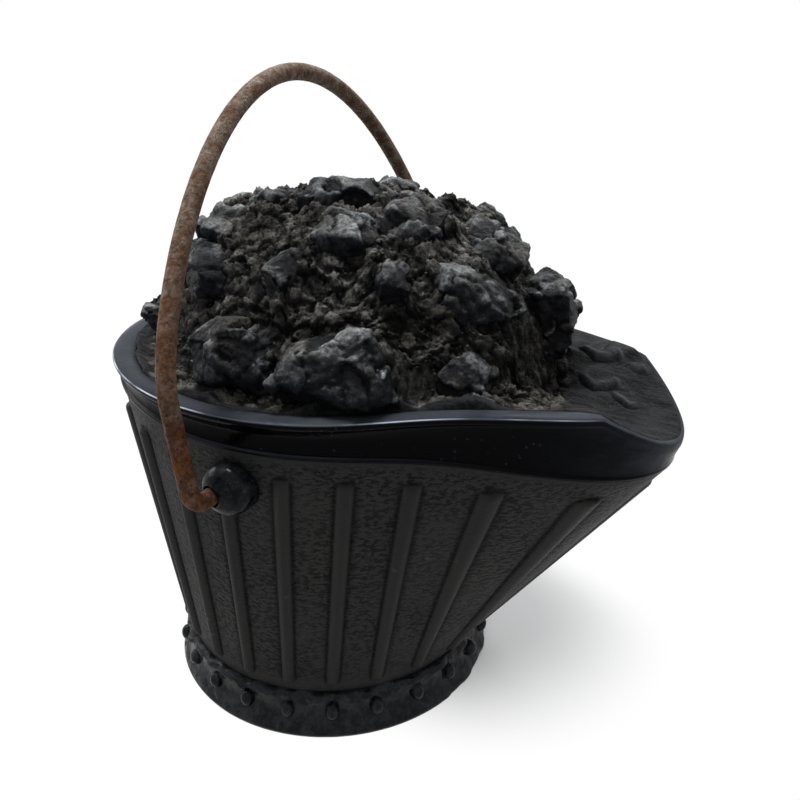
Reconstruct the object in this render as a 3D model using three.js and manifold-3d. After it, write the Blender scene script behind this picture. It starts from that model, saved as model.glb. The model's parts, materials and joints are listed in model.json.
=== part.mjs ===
// A small cast coal scuttle heaped with coal: a ribbed, tapering body on a beaded foot, a moulded rim
// drawn out into a pouring lip, two lugs, and a wire bail that swings in them. The coal is a bed of
// slack with lumps set in it. Millimetres, +Z up, lip towards +X, standing on z = 0.
import * as THREE from "three";
import { ConvexGeometry } from "three/addons/geometries/ConvexGeometry.js";
import { mergeVertices } from "three/addons/utils/BufferGeometryUtils.js";
import Module from "manifold-3d";

// ---- Driving dimensions -------------------------------------------------------------------------

const SEAT_GAP = 0.3; // between a piece and what carries it

// Foot: a flared ring with a row of beads
const FOOT_HEIGHT = 9;
const FOOT_RADIUS = 35; // widest, just above the table
const FOOT_WAIST = 33.2; // hollow between the flare and the top flange
const FOOT_FLANGE = 33.9;
const FOOT_EDGE = 0.8; // rounding of its bottom and top edges
const FOOT_BORE = 29;
const BEAD_COUNT = 24;
const BEAD_RADIUS = 1.35;
const BEAD_STRETCH = 1.35; // beads are taller than wide
const BEAD_LEVEL = 5.6;

// Body: a round foot end that opens into the mouth
const BODY_FOOT_RADIUS = 32.3;
const WALL = 2.2;
const FLOOR = 2.4;
const RIB_COUNT = 24;
const RIB_WIDTH = 2.9; // at the foot; it widens with the wall
const RIB_HEIGHT = 0.95;
const RIB_FOOT_MARGIN = 2.2; // plain wall below the ribs
const RIB_RIM_MARGIN = 4.2; // plain wall above them

// Mouth, where the wall meets the rim
const MOUTH_HALF_WIDTH = 39.9;
const MOUTH_SHIFT = 4.8; // its centre lies this far towards the lip
const LIP_REACH = 23.6;
const LIP_SHARPNESS = 16;
const BACK_REACH = 5;
const BACK_SHARPNESS = 3;
const SEAM_HEIGHT = 63.7; // top of the wall at the sides
const SEAM_BACK_RISE = 4.6;
const SEAM_LIP_DROP = 5.2;

// Rim: bead, cove and rolled top
const RIM_BEAD = 0.65; // how far the bead at its foot stands out
const RIM_BEAD_HEIGHT = 1.3;
const RIM_HEIGHT = 6.3; // above the seam, at the sides
const RIM_BACK_DROP = 2.6; // how much lower it stands above the seam at the back
const RIM_CORNER_RISE = 5.6; // and how much higher at the corners of the lip
const RIM_ROLL = 4.8; // width of the rolled top
const RIM_ROLL_DEPTH = 1.9; // from its top down to the cove
const RIM_PROUD = 1.3; // how far the roll stands outside the wall
const LIP_DIP = 6.8; // depth of the pouring dip between the corners
const LIP_DIP_HALF_TURN = 17; // degrees from the middle of the lip to a corner

// Lugs and bail
const PIVOT_BELOW_SEAM = 6.6;
const PIVOT_FORWARD = 1; // from the rib under the lug, towards the lip
const LUG_RADIUS = 4.6;
const LUG_PROUD = 5; // how far a lug stands off the wall
const LUG_OFFSET = 1.3; // its middle lies a little towards the lip from the hole
const WIRE = 3;
const PIN_CLEARANCE = 0.35;
const PIN_END_GAP = 0.9; // from the wire's end to the wall
const LEG_STANDOFF = 8.6; // from the wall to the middle of a leg
const LEG_BEND = 3.2;
const LEG_STRAIGHT = 17;
const BAIL_RISE = 63.5; // pivot to the middle of the wire at the top
const BAIL_CROWN_SHIFT = 1; // its top lies this far towards the near lug
const BAIL_LEG_EASE = 10; // how far the legs run on before the arch leans in
const BAIL_CROWN = 28; // half the width of the crown's control arms
const BAIL_LEAN = 8; // degrees backwards, as it stands

// Coal
const HEAP_HEIGHT = 28.6;
const HEAP_MARGIN = 7; // from the mouth's side to the foot of the heap
const HEAP_SHIFT = 6.5; // its centre, towards the lip
const HEAP_STEEPNESS = 3.2; // of its flanks; higher is blunter on top
const SLACK_BELOW_RIM = 1.7;
const SLACK_BELOW_LIP = 0.7; // where it runs out over the lip
const SLACK_LIP_NARROWNESS = 12;
const SLACK_ROUGHNESS = 1.2; // height of its swellings
const SLACK_WAVE = 12; // from one swelling to the next
const SLACK_RUBBLE = 0.9; // height of the smaller heaps on them
const SLACK_RUBBLE_WAVE = 7.4;
const SLACK_CLIMB = 2; // how far it climbs round a lump
const SLACK_CLIMB_REACH = 3;

const LUMP = 15; // length of a middling lump

// Lumps: turn about the heap from the lip (degrees, near side negative), share of the way out from
// its middle, then length, width and height in shares of a middling lump, and its own turn.
const LUMPS = [
  { name: "crown", turn: -66, out: 0.2, size: [1.2, 0.87, 0.8], spin: 10 },
  { name: "crown_left", turn: -140, out: 0.34, size: [0.8, 0.67, 0.6], spin: 40 },
  { name: "shoulder_left", turn: -132, out: 0.6, size: [0.93, 0.8, 0.73], spin: -15 },
  { name: "flank_left", turn: -121, out: 0.78, size: [1.13, 0.87, 0.8], spin: 5 },
  { name: "under_crown", turn: -66, out: 0.55, size: [0.87, 0.73, 0.6], spin: -20 },
  { name: "shoulder_right", turn: -33, out: 0.48, size: [1, 0.87, 0.73], spin: 25 },
  { name: "pebble", turn: 10, out: 0.38, size: [0.47, 0.4, 0.4], spin: 0 },
  { name: "step_right", turn: 2, out: 0.68, size: [0.87, 0.8, 0.67], spin: 15 },
  { name: "slab_right", turn: -25, out: 0.82, size: [1.13, 0.87, 0.6], spin: -25 },
  { name: "end_right", turn: 16, out: 0.92, size: [1, 1, 0.87], spin: 10 },
  { name: "front_left", turn: -99, out: 0.95, size: [1.27, 0.8, 0.8], spin: 5 },
  { name: "front_middle", turn: -68, out: 0.95, size: [1.4, 0.93, 1], spin: -5 },
  { name: "chip_middle", turn: -86, out: 0.73, size: [0.67, 0.53, 0.53], spin: 60 },
  { name: "chip_upright", turn: -53, out: 0.78, size: [0.53, 0.53, 0.73], spin: 30 },
  { name: "front_right", turn: -37, out: 0.97, size: [0.73, 0.67, 0.53], spin: 10 },
  { name: "back_left", turn: -156, out: 0.95, size: [0.87, 0.73, 0.67], spin: 20 },
  { name: "back_crown", turn: 75, out: 0.34, size: [0.87, 0.73, 0.67], spin: -30 },
  { name: "back_shoulder_right", turn: 42, out: 0.66, size: [0.93, 0.8, 0.73], spin: 35 },
  { name: "back_front_right", turn: 47, out: 0.96, size: [1.07, 0.8, 0.73], spin: -20 },
  { name: "back_middle", turn: 84, out: 0.7, size: [0.93, 0.87, 0.67], spin: 15 },
  { name: "back_base", turn: 80, out: 0.97, size: [1.2, 0.8, 0.8], spin: 0 },
  { name: "back_flank", turn: 112, out: 0.9, size: [1, 0.8, 0.8], spin: 40 },
  { name: "rear_shoulder", turn: 132, out: 0.6, size: [1, 0.87, 0.73], spin: -10 },
  { name: "rear_base", turn: 148, out: 0.93, size: [1, 0.8, 0.73], spin: 30 },
  { name: "rear_middle", turn: 178, out: 0.64, size: [0.93, 0.8, 0.73], spin: 5 },
  { name: "rear_low", turn: 180, out: 0.95, size: [1, 0.8, 0.67], spin: -15 },
];

// ---- Small tools ----------------------------------------------------------------------------------

const wasm = await Module();
wasm.setup();

const lerp = THREE.MathUtils.lerp;
const radians = THREE.MathUtils.degToRad;

function bareGeometry(geometry) {
  const bare = geometry.clone();
  bare.deleteAttribute("normal");
  bare.deleteAttribute("uv");
  return mergeVertices(bare, 1e-4);
}

function toSolid(geometry) {
  const merged = bareGeometry(geometry);
  return new wasm.Manifold(
    new wasm.Mesh({
      numProp: 3,
      vertProperties: merged.attributes.position.array,
      triVerts: new Uint32Array(merged.index.array),
    }),
  );
}

function toGeometry(solid) {
  const mesh = solid.getMesh();
  const geometry = new THREE.BufferGeometry();
  geometry.setAttribute("position", new THREE.BufferAttribute(mesh.vertProperties, 3));
  geometry.setIndex(new THREE.BufferAttribute(mesh.triVerts, 1));
  return geometry;
}

// A repeatable stream of numbers between 0 and 1.
function randomStream(seed) {
  let state = seed;
  return () => {
    state = (state * 1664525 + 1013904223) % 4294967296;
    return state / 4294967296;
  };
}

// A closed skin through rings of equally many points. It either ends in a flat cap at both ends or,
// when it loops, joins the last ring to the first.
function skin(rings, loops = false) {
  const count = rings[0].length;
  const points = rings.flat();
  const faces = [];
  const strip = (low, high) => {
    for (let i = 0; i < count; i++) {
      const next = (i + 1) % count;
      faces.push(low + i, low + next, high + next, low + i, high + next, high + i);
    }
  };
  rings.slice(1).forEach((ring, row) => strip(row * count, (row + 1) * count));
  if (loops) strip((rings.length - 1) * count, 0);
  else {
    const cap = (ring, first, flip) => {
      const middle = new THREE.Vector3();
      ring.forEach((point) => middle.addScaledVector(point, 1 / count));
      const centre = points.push(middle) - 1;
      for (let i = 0; i < count; i++) {
        const next = (i + 1) % count;
        faces.push(centre, first + (flip ? next : i), first + (flip ? i : next));
      }
    };
    cap(rings[0], 0, true);
    cap(rings.at(-1), (rings.length - 1) * count, false);
  }
  const geometry = new THREE.BufferGeometry().setFromPoints(points);
  geometry.setIndex(faces);
  return geometry;
}

// ---- The form shared by wall, rim and coal --------------------------------------------------------

// 1 at the given turn, falling away on both sides.
const lobe = (turn, sharpness) => ((1 + Math.cos(turn)) / 2) ** sharpness;

// The mouth's outline in plan. Turn 0 is the lip.
function mouthPlan(turn) {
  const radius =
    MOUTH_HALF_WIDTH +
    LIP_REACH * lobe(turn, LIP_SHARPNESS) +
    BACK_REACH * lobe(turn + Math.PI, BACK_SHARPNESS);
  return new THREE.Vector2(MOUTH_SHIFT + radius * Math.cos(turn), radius * Math.sin(turn));
}

function mouthNormal(turn) {
  const step = 1e-3;
  const along = mouthPlan(turn + step).sub(mouthPlan(turn - step));
  return new THREE.Vector2(along.y, -along.x).normalize();
}

const mouthPoint = (turn, offset) => mouthPlan(turn).addScaledVector(mouthNormal(turn), offset);

const seamHeight = (turn) =>
  SEAM_HEIGHT +
  SEAM_BACK_RISE * lobe(turn + Math.PI, BACK_SHARPNESS) -
  SEAM_LIP_DROP * lobe(turn, LIP_SHARPNESS);

// 1 at the middle of the lip, 0 at its corners and beyond.
function lipDip(turn) {
  const away = Math.abs(Math.atan2(Math.sin(turn), Math.cos(turn)));
  return Math.cos(Math.min(away / radians(LIP_DIP_HALF_TURN), 1) * (Math.PI / 2));
}

// Top of the rim above the seam.
const rimHeight = (turn) =>
  RIM_HEIGHT -
  RIM_BACK_DROP * lobe(turn + Math.PI, BACK_SHARPNESS) +
  RIM_CORNER_RISE * lobe(turn, LIP_SHARPNESS / 2) -
  LIP_DIP * lipDip(turn);

const BODY_FOOT_HEIGHT = FOOT_HEIGHT + SEAT_GAP;

// A point of the wall: share 0 is its foot, 1 its top; the offset is measured outwards in plan.
function wallPoint(turn, share, offset) {
  const foot = new THREE.Vector2(Math.cos(turn), Math.sin(turn));
  foot.multiplyScalar(BODY_FOOT_RADIUS + offset);
  const plan = foot.lerp(mouthPoint(turn, offset), share);
  return new THREE.Vector3(plan.x, plan.y, lerp(BODY_FOOT_HEIGHT, seamHeight(turn), share));
}

const wallShare = (turn, height) =>
  (height - BODY_FOOT_HEIGHT) / (seamHeight(turn) - BODY_FOOT_HEIGHT);

// ---- Pivot of the bail ----------------------------------------------------------------------------

const EAR_TURN = -Math.PI / 2; // the near lug; the far one mirrors it
const PIVOT_HEIGHT = SEAM_HEIGHT - PIVOT_BELOW_SEAM;
const PIVOT_WALL = wallPoint(EAR_TURN, wallShare(EAR_TURN, PIVOT_HEIGHT), 0);
const PIVOT_X = PIVOT_WALL.x + PIVOT_FORWARD;
const WALL_Y = -PIVOT_WALL.y;

// ---- Body -----------------------------------------------------------------------------------------

const RIB_PITCH = (2 * Math.PI) / RIB_COUNT;
const RIB_HALF_TURN = Math.min(RIB_WIDTH / 2 / BODY_FOOT_RADIUS, RIB_PITCH / 2.2);

// Columns of the wall: across each half-round rib, and one in the panel beside it.
const RIB_COLUMNS = [-1, -0.5, 0.5, 1];
const wallColumns = [];
for (let rib = 0; rib < RIB_COUNT; rib++) {
  const middle = rib * RIB_PITCH;
  RIB_COLUMNS.forEach((across) =>
    wallColumns.push({ turn: middle + across * RIB_HALF_TURN, across, middle }),
  );
  wallColumns.push({ turn: middle + RIB_PITCH / 2, across: 1, middle });
}

// A rib ends below the plain strip under the rim, or below a lug.
function ribTop(middle, half) {
  const nearLug = Math.abs(Math.cos(middle)) < Math.sin(RIB_PITCH / 2);
  const top = nearLug ? PIVOT_HEIGHT - LUG_RADIUS : seamHeight(middle) - RIB_RIM_MARGIN;
  return Math.min(top, seamHeight(middle) - half);
}

const roundOver = (across) => Math.sqrt(Math.max(0, 1 - across * across));

function bodyOutside(offset, foot = 0) {
  const half = RIB_WIDTH / 2;
  const start = BODY_FOOT_HEIGHT + RIB_FOOT_MARGIN;
  const ends = [0, 0.35, 1];
  const ring = (levelOf, riseAlong) =>
    wallColumns.map(({ turn, across, middle }) => {
      const height = levelOf(middle);
      const proud = RIB_HEIGHT * roundOver(across) * riseAlong;
      return wallPoint(turn, wallShare(middle, height), offset + proud);
    });
  return [
    wallColumns.map(({ turn }) => wallPoint(turn, foot, offset)),
    ...ends.map((end) => ring(() => start + end * half, roundOver(1 - end))),
    ...ends.toReversed().map((end) =>
      ring((middle) => ribTop(middle, half) - end * half, roundOver(1 - end)),
    ),
    wallColumns.map(({ turn }) => wallPoint(turn, 1, offset)),
  ];
}

// Rings of the wall's inside above its floor, which the slack follows.
const WALL_SHARES = [0.25, 0.5, 0.75, 1];

function bodyGeometry() {
  const inside = (share) => wallColumns.map(({ turn }) => wallPoint(turn, share, -WALL));
  const floor = inside(0).map((point) => point.setZ(BODY_FOOT_HEIGHT + FLOOR));
  return skin([...bodyOutside(0), ...WALL_SHARES.toReversed().map(inside), floor]);
}

// ---- Rim ------------------------------------------------------------------------------------------

const RIM_COLUMNS = 80;

// Denser towards the lip, where the outline bends most.
const rimTurns = Array.from({ length: RIM_COLUMNS }, (_, i) => {
  const even = (2 * Math.PI * i) / RIM_COLUMNS;
  return even - 0.55 * Math.sin(even);
});

// The rim's section: offset outwards from the wall, and height above the seam, for a rim this high.
function rimSection(height) {
  return [
    [-WALL, 0],
    [RIM_BEAD * 0.3, 0],
    [RIM_BEAD, RIM_BEAD_HEIGHT * 0.2],
    [RIM_BEAD, RIM_BEAD_HEIGHT * 0.65],
    [0, RIM_BEAD_HEIGHT],
    [-RIM_BEAD * 0.15, lerp(RIM_BEAD_HEIGHT, height - RIM_ROLL_DEPTH, 0.5)],
    [RIM_PROUD * 0.45, height - RIM_ROLL_DEPTH],
    [RIM_PROUD, height - RIM_ROLL_DEPTH * 0.6],
    [RIM_PROUD * 0.85, height - RIM_ROLL_DEPTH * 0.2],
    [RIM_PROUD - RIM_ROLL * 0.3, height],
    [RIM_PROUD - RIM_ROLL * 0.65, height - RIM_ROLL_DEPTH * 0.1],
    [RIM_PROUD - RIM_ROLL * 0.9, height - RIM_ROLL_DEPTH * 0.4],
    [RIM_PROUD - RIM_ROLL, height - SLACK_BELOW_RIM - SEAT_GAP],
  ];
}

function rimGeometry() {
  const sections = rimTurns.map((turn) =>
    rimSection(rimHeight(turn)).map(([offset, rise]) => {
      const plan = mouthPoint(turn, offset);
      return new THREE.Vector3(plan.x, plan.y, seamHeight(turn) + SEAT_GAP + rise);
    }),
  );
  return skin(sections[0].map((_, row) => sections.map((section) => section[row])), true);
}

// ---- Foot -----------------------------------------------------------------------------------------

function footGeometry() {
  const section = [
    [FOOT_BORE, 0],
    [FOOT_RADIUS - FOOT_EDGE, 0],
    [FOOT_RADIUS, FOOT_EDGE],
    [FOOT_RADIUS - FOOT_EDGE / 2, FOOT_EDGE * 2],
    [lerp(FOOT_WAIST, FOOT_RADIUS, 0.15), FOOT_HEIGHT * 0.36],
    [FOOT_WAIST, FOOT_HEIGHT * 0.58],
    [lerp(FOOT_WAIST, FOOT_FLANGE, 0.8), FOOT_HEIGHT * 0.8],
    [FOOT_FLANGE, FOOT_HEIGHT - FOOT_EDGE],
    [FOOT_FLANGE - FOOT_EDGE / 2, FOOT_HEIGHT],
    [FOOT_BORE, FOOT_HEIGHT],
    [FOOT_BORE, 0],
  ];
  const lathe = new THREE.LatheGeometry(section.map(([x, y]) => new THREE.Vector2(x, y)), 48);
  let ring = toSolid(lathe.rotateX(Math.PI / 2));
  for (let i = 0; i < BEAD_COUNT; i++) {
    const turn = (2 * Math.PI * i) / BEAD_COUNT;
    const bead = new THREE.OctahedronGeometry(BEAD_RADIUS, 1);
    bead.scale(1, 1, BEAD_STRETCH);
    bead.translate(FOOT_WAIST + BEAD_RADIUS / 4, 0, BEAD_LEVEL);
    ring = ring.add(toSolid(bead.rotateZ(turn)));
  }
  return toGeometry(ring);
}

// ---- Lugs -----------------------------------------------------------------------------------------

// The near lug: a domed knob that fits the wall, with a hole along Y for the end of the wire.
function lugGeometry() {
  const dome = new THREE.EllipseCurve(0, LUG_PROUD * 0.35, LUG_RADIUS, LUG_PROUD * 0.65, 0, Math.PI / 2);
  const outline = [new THREE.Vector2(0, -LUG_PROUD), new THREE.Vector2(LUG_RADIUS, -LUG_PROUD)];
  const knob = new THREE.LatheGeometry([...outline, ...dome.getPoints(6)], 28);
  knob.rotateX(Math.PI);
  knob.translate(PIVOT_X + LUG_OFFSET, -WALL_Y, PIVOT_HEIGHT + LUG_OFFSET / 3);
  const holeRadius = WIRE / 2 + PIN_CLEARANCE;
  const hole = new THREE.CylinderGeometry(holeRadius, holeRadius, 3 * LUG_PROUD, 24);
  hole.translate(PIVOT_X, -WALL_Y, PIVOT_HEIGHT);
  return toGeometry(
    toSolid(knob).subtract(toSolid(skin(bodyOutside(SEAT_GAP)))).subtract(toSolid(hole)),
  );
}

// ---- Bail -----------------------------------------------------------------------------------------

// The wire's middle line in the bail's own plane (y, z), the pivot at z = 0.
function bailPath() {
  const leg = WALL_Y + LEG_STANDOFF;
  const end = WALL_Y + PIN_END_GAP;
  const point = (y, z) => new THREE.Vector3(0, y, z);
  const half = (side) => [
    new THREE.LineCurve3(point(side * end, 0), point(side * (leg - LEG_BEND), 0)),
    new THREE.QuadraticBezierCurve3(
      point(side * (leg - LEG_BEND), 0),
      point(side * leg, 0),
      point(side * leg, LEG_BEND),
    ),
    new THREE.LineCurve3(point(side * leg, LEG_BEND), point(side * leg, LEG_STRAIGHT)),
    new THREE.CubicBezierCurve3(
      point(side * leg, LEG_STRAIGHT),
      point(side * leg, LEG_STRAIGHT + BAIL_LEG_EASE),
      point(side * BAIL_CROWN - BAIL_CROWN_SHIFT, BAIL_RISE),
      point(-BAIL_CROWN_SHIFT, BAIL_RISE),
    ),
  ];
  const reversed = (curve) => {
    const flipped = curve.clone();
    if (curve.isLineCurve3) [flipped.v1, flipped.v2] = [curve.v2, curve.v1];
    else if (curve.isQuadraticBezierCurve3) [flipped.v0, flipped.v2] = [curve.v2, curve.v0];
    else {
      [flipped.v0, flipped.v3] = [curve.v3, curve.v0];
      [flipped.v1, flipped.v2] = [curve.v2, curve.v1];
    }
    return flipped;
  };
  const path = new THREE.CurvePath();
  path.curves = [...half(-1), ...half(1).toReversed().map(reversed)];
  return path;
}

function bailGeometry() {
  const path = bailPath();
  const steps = 84;
  const sides = 10;
  const section = new THREE.Shape();
  for (let i = 0; i < sides; i++) {
    const turn = (2 * Math.PI * i) / sides;
    const at = [(WIRE / 2) * Math.cos(turn), (WIRE / 2) * Math.sin(turn)];
    if (i) section.lineTo(...at);
    else section.moveTo(...at);
  }
  section.closePath();
  return new THREE.ExtrudeGeometry(section, { steps, bevelEnabled: false, extrudePath: path });
}

// ---- Coal -----------------------------------------------------------------------------------------

const HEAP_HALF_LENGTH = MOUTH_HALF_WIDTH;
const HEAP_HALF_WIDTH = MOUTH_HALF_WIDTH - HEAP_MARGIN;
const SLACK_LEVEL = SEAM_HEIGHT + RIM_HEIGHT - SLACK_BELOW_RIM;

// How far the heap rises above the slack's level at a share of the way out.
const heapRise = (share) =>
  share < 1 ? HEAP_HEIGHT * (1 - share ** HEAP_STEEPNESS) ** (1 / 1.4) : 0;

const heapShare = (x, y) => Math.hypot((x - HEAP_SHIFT) / HEAP_HALF_LENGTH, y / HEAP_HALF_WIDTH);

// Hollows and swellings in the slack, and smaller heaps on them.
function slackUnevenness(x, y) {
  const pace = (2 * Math.PI) / SLACK_WAVE;
  const quick = (2 * Math.PI) / SLACK_RUBBLE_WAVE;
  return (
    SLACK_ROUGHNESS * Math.sin(pace * (x + 0.4 * y)) * Math.cos(pace * (0.9 * y - 0.25 * x)) +
    SLACK_RUBBLE * Math.sin(quick * (0.7 * x - 0.8 * y) + 1.3) * Math.cos(quick * (0.55 * x + 0.75 * y) + 0.4)
  );
}

// Middle of a lump in plan.
function lumpPlan({ turn, out }) {
  const angle = radians(turn);
  return [HEAP_SHIFT + HEAP_HALF_LENGTH * out * Math.cos(angle), HEAP_HALF_WIDTH * out * Math.sin(angle)];
}

// How far the slack climbs at a place, next to the nearest lump.
function slackClimb(x, y) {
  const gaps = LUMPS.map((lump) => {
    const [lumpX, lumpY] = lumpPlan(lump);
    return Math.max(Math.hypot(x - lumpX, y - lumpY) - ((lump.size[0] + lump.size[1]) / 4) * LUMP * 0.85, 0);
  });
  return SLACK_CLIMB * Math.exp(-((Math.min(...gaps) / SLACK_CLIMB_REACH) ** 2));
}

function slackGeometry() {
  const turns = Array.from({ length: 3 * RIB_COUNT }, (_, i) => (i * RIB_PITCH) / 3);
  const wallOffset = -WALL - 2 * SEAT_GAP;
  const edge = turns.map((turn) => {
    const plan = mouthPoint(turn, RIM_PROUD - RIM_ROLL - SEAT_GAP);
    const below = SLACK_BELOW_RIM - (SLACK_BELOW_RIM - SLACK_BELOW_LIP) * lobe(turn, SLACK_LIP_NARROWNESS);
    return new THREE.Vector3(plan.x, plan.y, seamHeight(turn) + SEAT_GAP + rimHeight(turn) - below);
  });
  const bottom = turns.map((turn) =>
    wallPoint(turn, 0, wallOffset).setZ(BODY_FOOT_HEIGHT + FLOOR + SEAT_GAP),
  );
  const heapMiddle = new THREE.Vector3(HEAP_SHIFT, 0, SLACK_LEVEL);
  const shares = [0.96, 0.91, 0.86, 0.8, 0.74, 0.67, 0.59, 0.51, 0.42, 0.33, 0.23, 0.12];
  const top = shares.map((share) =>
    edge.map((rim) => {
      const point = heapMiddle.clone().lerp(rim, share);
      const rise = heapRise(heapShare(point.x, point.y));
      const settle = Math.min((1 - share) * 8, 1);
      point.z += rise + settle * (slackUnevenness(point.x, point.y) + slackClimb(point.x, point.y));
      return point;
    }),
  );
  const sides = WALL_SHARES.map((share) => turns.map((turn) => wallPoint(turn, share, wallOffset)));
  return skin([bottom, ...sides, edge, ...top]);
}

// A pocket is wider than its lump by this much of the gap, since its flats lie inside its corners.
const POCKET_EASE = 1.3;

// An angular chunk: jittered points on a squarish ball.
function chunkPoints([length, width, height], random) {
  const count = 16;
  const golden = Math.PI * (3 - Math.sqrt(5));
  return Array.from({ length: count }, (_, i) => {
    const z = 1 - (2 * (i + 0.5)) / count;
    const ring = Math.sqrt(1 - z * z);
    const turn = i * golden + random();
    const point = new THREE.Vector3(ring * Math.cos(turn), ring * Math.sin(turn), z);
    const largest = Math.max(Math.abs(point.x), Math.abs(point.y), Math.abs(point.z));
    point.multiplyScalar(largest ** -0.6 * (0.9 + 0.25 * random()));
    return point.multiply(new THREE.Vector3(length, width, height)).multiplyScalar(LUMP / 2);
  });
}

// Each lump lies half sunk in the heap's surface, tipped with its slope. Its pocket keeps its
// neighbours and the slack off it.
function lumpHulls() {
  return LUMPS.map(({ name, turn, out, size, spin }, index) => {
    const angle = radians(turn);
    const [x, y] = lumpPlan({ turn, out });
    const slope = (heapRise(Math.max(out - 0.05, 0)) - heapRise(Math.min(out + 0.05, 1))) / 0.1;
    const tilt = Math.atan2(slope * 0.7, HEAP_HALF_WIDTH);
    const frame = new THREE.Matrix4().makeTranslation(x, y, SLACK_LEVEL + heapRise(out));
    const lean = new THREE.Matrix4().makeRotationAxis(
      new THREE.Vector3(-Math.sin(angle), Math.cos(angle), 0),
      tilt,
    );
    frame.multiply(lean).multiply(new THREE.Matrix4().makeRotationZ(angle + Math.PI / 2 + radians(spin)));
    const corners = (grow) =>
      chunkPoints(size, randomStream(7 + index * 101)).map((point) =>
        point.setLength(point.length() + grow).applyMatrix4(frame),
      );
    const hull = (points) => toSolid(new ConvexGeometry(points));
    return {
      name: "coal_" + name,
      solid: hull(corners(0)),
      pocket: hull(corners(SEAT_GAP * POCKET_EASE)),
    };
  });
}

// The rim and a gap round it, which no lump enters.
function rimKeepOut() {
  const inner = RIM_PROUD - RIM_ROLL - SEAT_GAP;
  const ring = (offset, riseOf) =>
    rimTurns.map((turn) => {
      const plan = mouthPoint(turn, offset);
      return new THREE.Vector3(plan.x, plan.y, seamHeight(turn) + riseOf(turn));
    });
  const top = (turn) => rimHeight(turn) + 2 * SEAT_GAP;
  const under = () => -RIM_ROLL;
  return skin([ring(inner, under), ring(RIM_ROLL, under), ring(RIM_ROLL, top), ring(inner, top)], true);
}

// Lumps are cut where they meet each other or the rim, and the slack has a pocket for each. Crumbs
// of slack that the pockets cut loose are left out.
function coalPieces() {
  const hulls = lumpHulls();
  const keepOut = toSolid(rimKeepOut());
  const pieces = hulls.map(({ name, solid }, index) => {
    const fitted = hulls
      .slice(0, index)
      .reduce((rest, other) => rest.subtract(other.pocket), solid.subtract(keepOut));
    return { name, geometry: toGeometry(fitted) };
  });
  const bedded = hulls.reduce((rest, { pocket }) => rest.subtract(pocket), toSolid(slackGeometry()));
  const [slack] = bedded.decompose().sort((a, b) => b.volume() - a.volume());
  return [...pieces, { name: "coal_slack", geometry: toGeometry(slack) }];
}

// ---- Finishes and assembly ------------------------------------------------------------------------

const castBlack = () => new THREE.MeshStandardMaterial({ color: 0x1c1e20, roughness: 0.55, metalness: 0.3 });
const glossBlack = () => new THREE.MeshStandardMaterial({ color: 0x14161a, roughness: 0.35, metalness: 0.3 });
const rustyWire = () => new THREE.MeshStandardMaterial({ color: 0x5a3a28, roughness: 0.8, metalness: 0.4 });
const coalBlack = () => new THREE.MeshStandardMaterial({ color: 0x26282b, roughness: 0.7, metalness: 0 });
const coalDust = () => new THREE.MeshStandardMaterial({ color: 0x2e2c2a, roughness: 0.95, metalness: 0 });

function piece(name, geometry, material) {
  const mesh = new THREE.Mesh(geometry, material);
  mesh.name = name;
  return mesh;
}

const scuttle = new THREE.Group();
scuttle.add(piece("foot_ring", footGeometry(), glossBlack()));
scuttle.add(piece("body", bodyGeometry(), castBlack()));
scuttle.add(piece("rim", rimGeometry(), glossBlack()));

const lug = lugGeometry();
scuttle.add(piece("lug_near", lug, glossBlack()));
const farLug = piece("lug_far", lug.clone(), glossBlack());
farLug.scale.y = -1;
scuttle.add(farLug);

const bailFrame = new THREE.Group();
bailFrame.position.set(PIVOT_X, 0, PIVOT_HEIGHT);
bailFrame.rotation.y = radians(-BAIL_LEAN);
bailFrame.add(piece("bail", bailGeometry(), rustyWire()));
scuttle.add(bailFrame);

coalPieces().forEach(({ name, geometry }) =>
  scuttle.add(piece(name, geometry, name === "coal_slack" ? coalDust() : coalBlack())),
);

// The part's origin is the middle of its bounding box, on the table.
scuttle.updateMatrixWorld(true);
const middle = new THREE.Box3().setFromObject(scuttle).getCenter(new THREE.Vector3());
scuttle.position.x = -middle.x;

export default scuttle;
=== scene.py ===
"""A small cast coal scuttle heaped with coal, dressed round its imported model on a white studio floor.

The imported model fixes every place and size. This script stands finer meshes of the same form on it: the
ribbed wall, the moulded rim with its pouring lip, the beaded foot, the lugs, the wire bail, the lumps of
coal and the bed of fines between them. Sizes are in millimetres until a mesh is made, and a mesh is in
metres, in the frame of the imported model. Patterns in node trees are in metres.
"""

from __future__ import annotations

import json
import logging
import math
from dataclasses import asdict, dataclass, field
from enum import Enum
from typing import Any, Iterable, Sequence

import bmesh
import bpy
import numpy as np
from mathutils import Matrix, Vector
from mathutils.bvhtree import BVHTree

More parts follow.
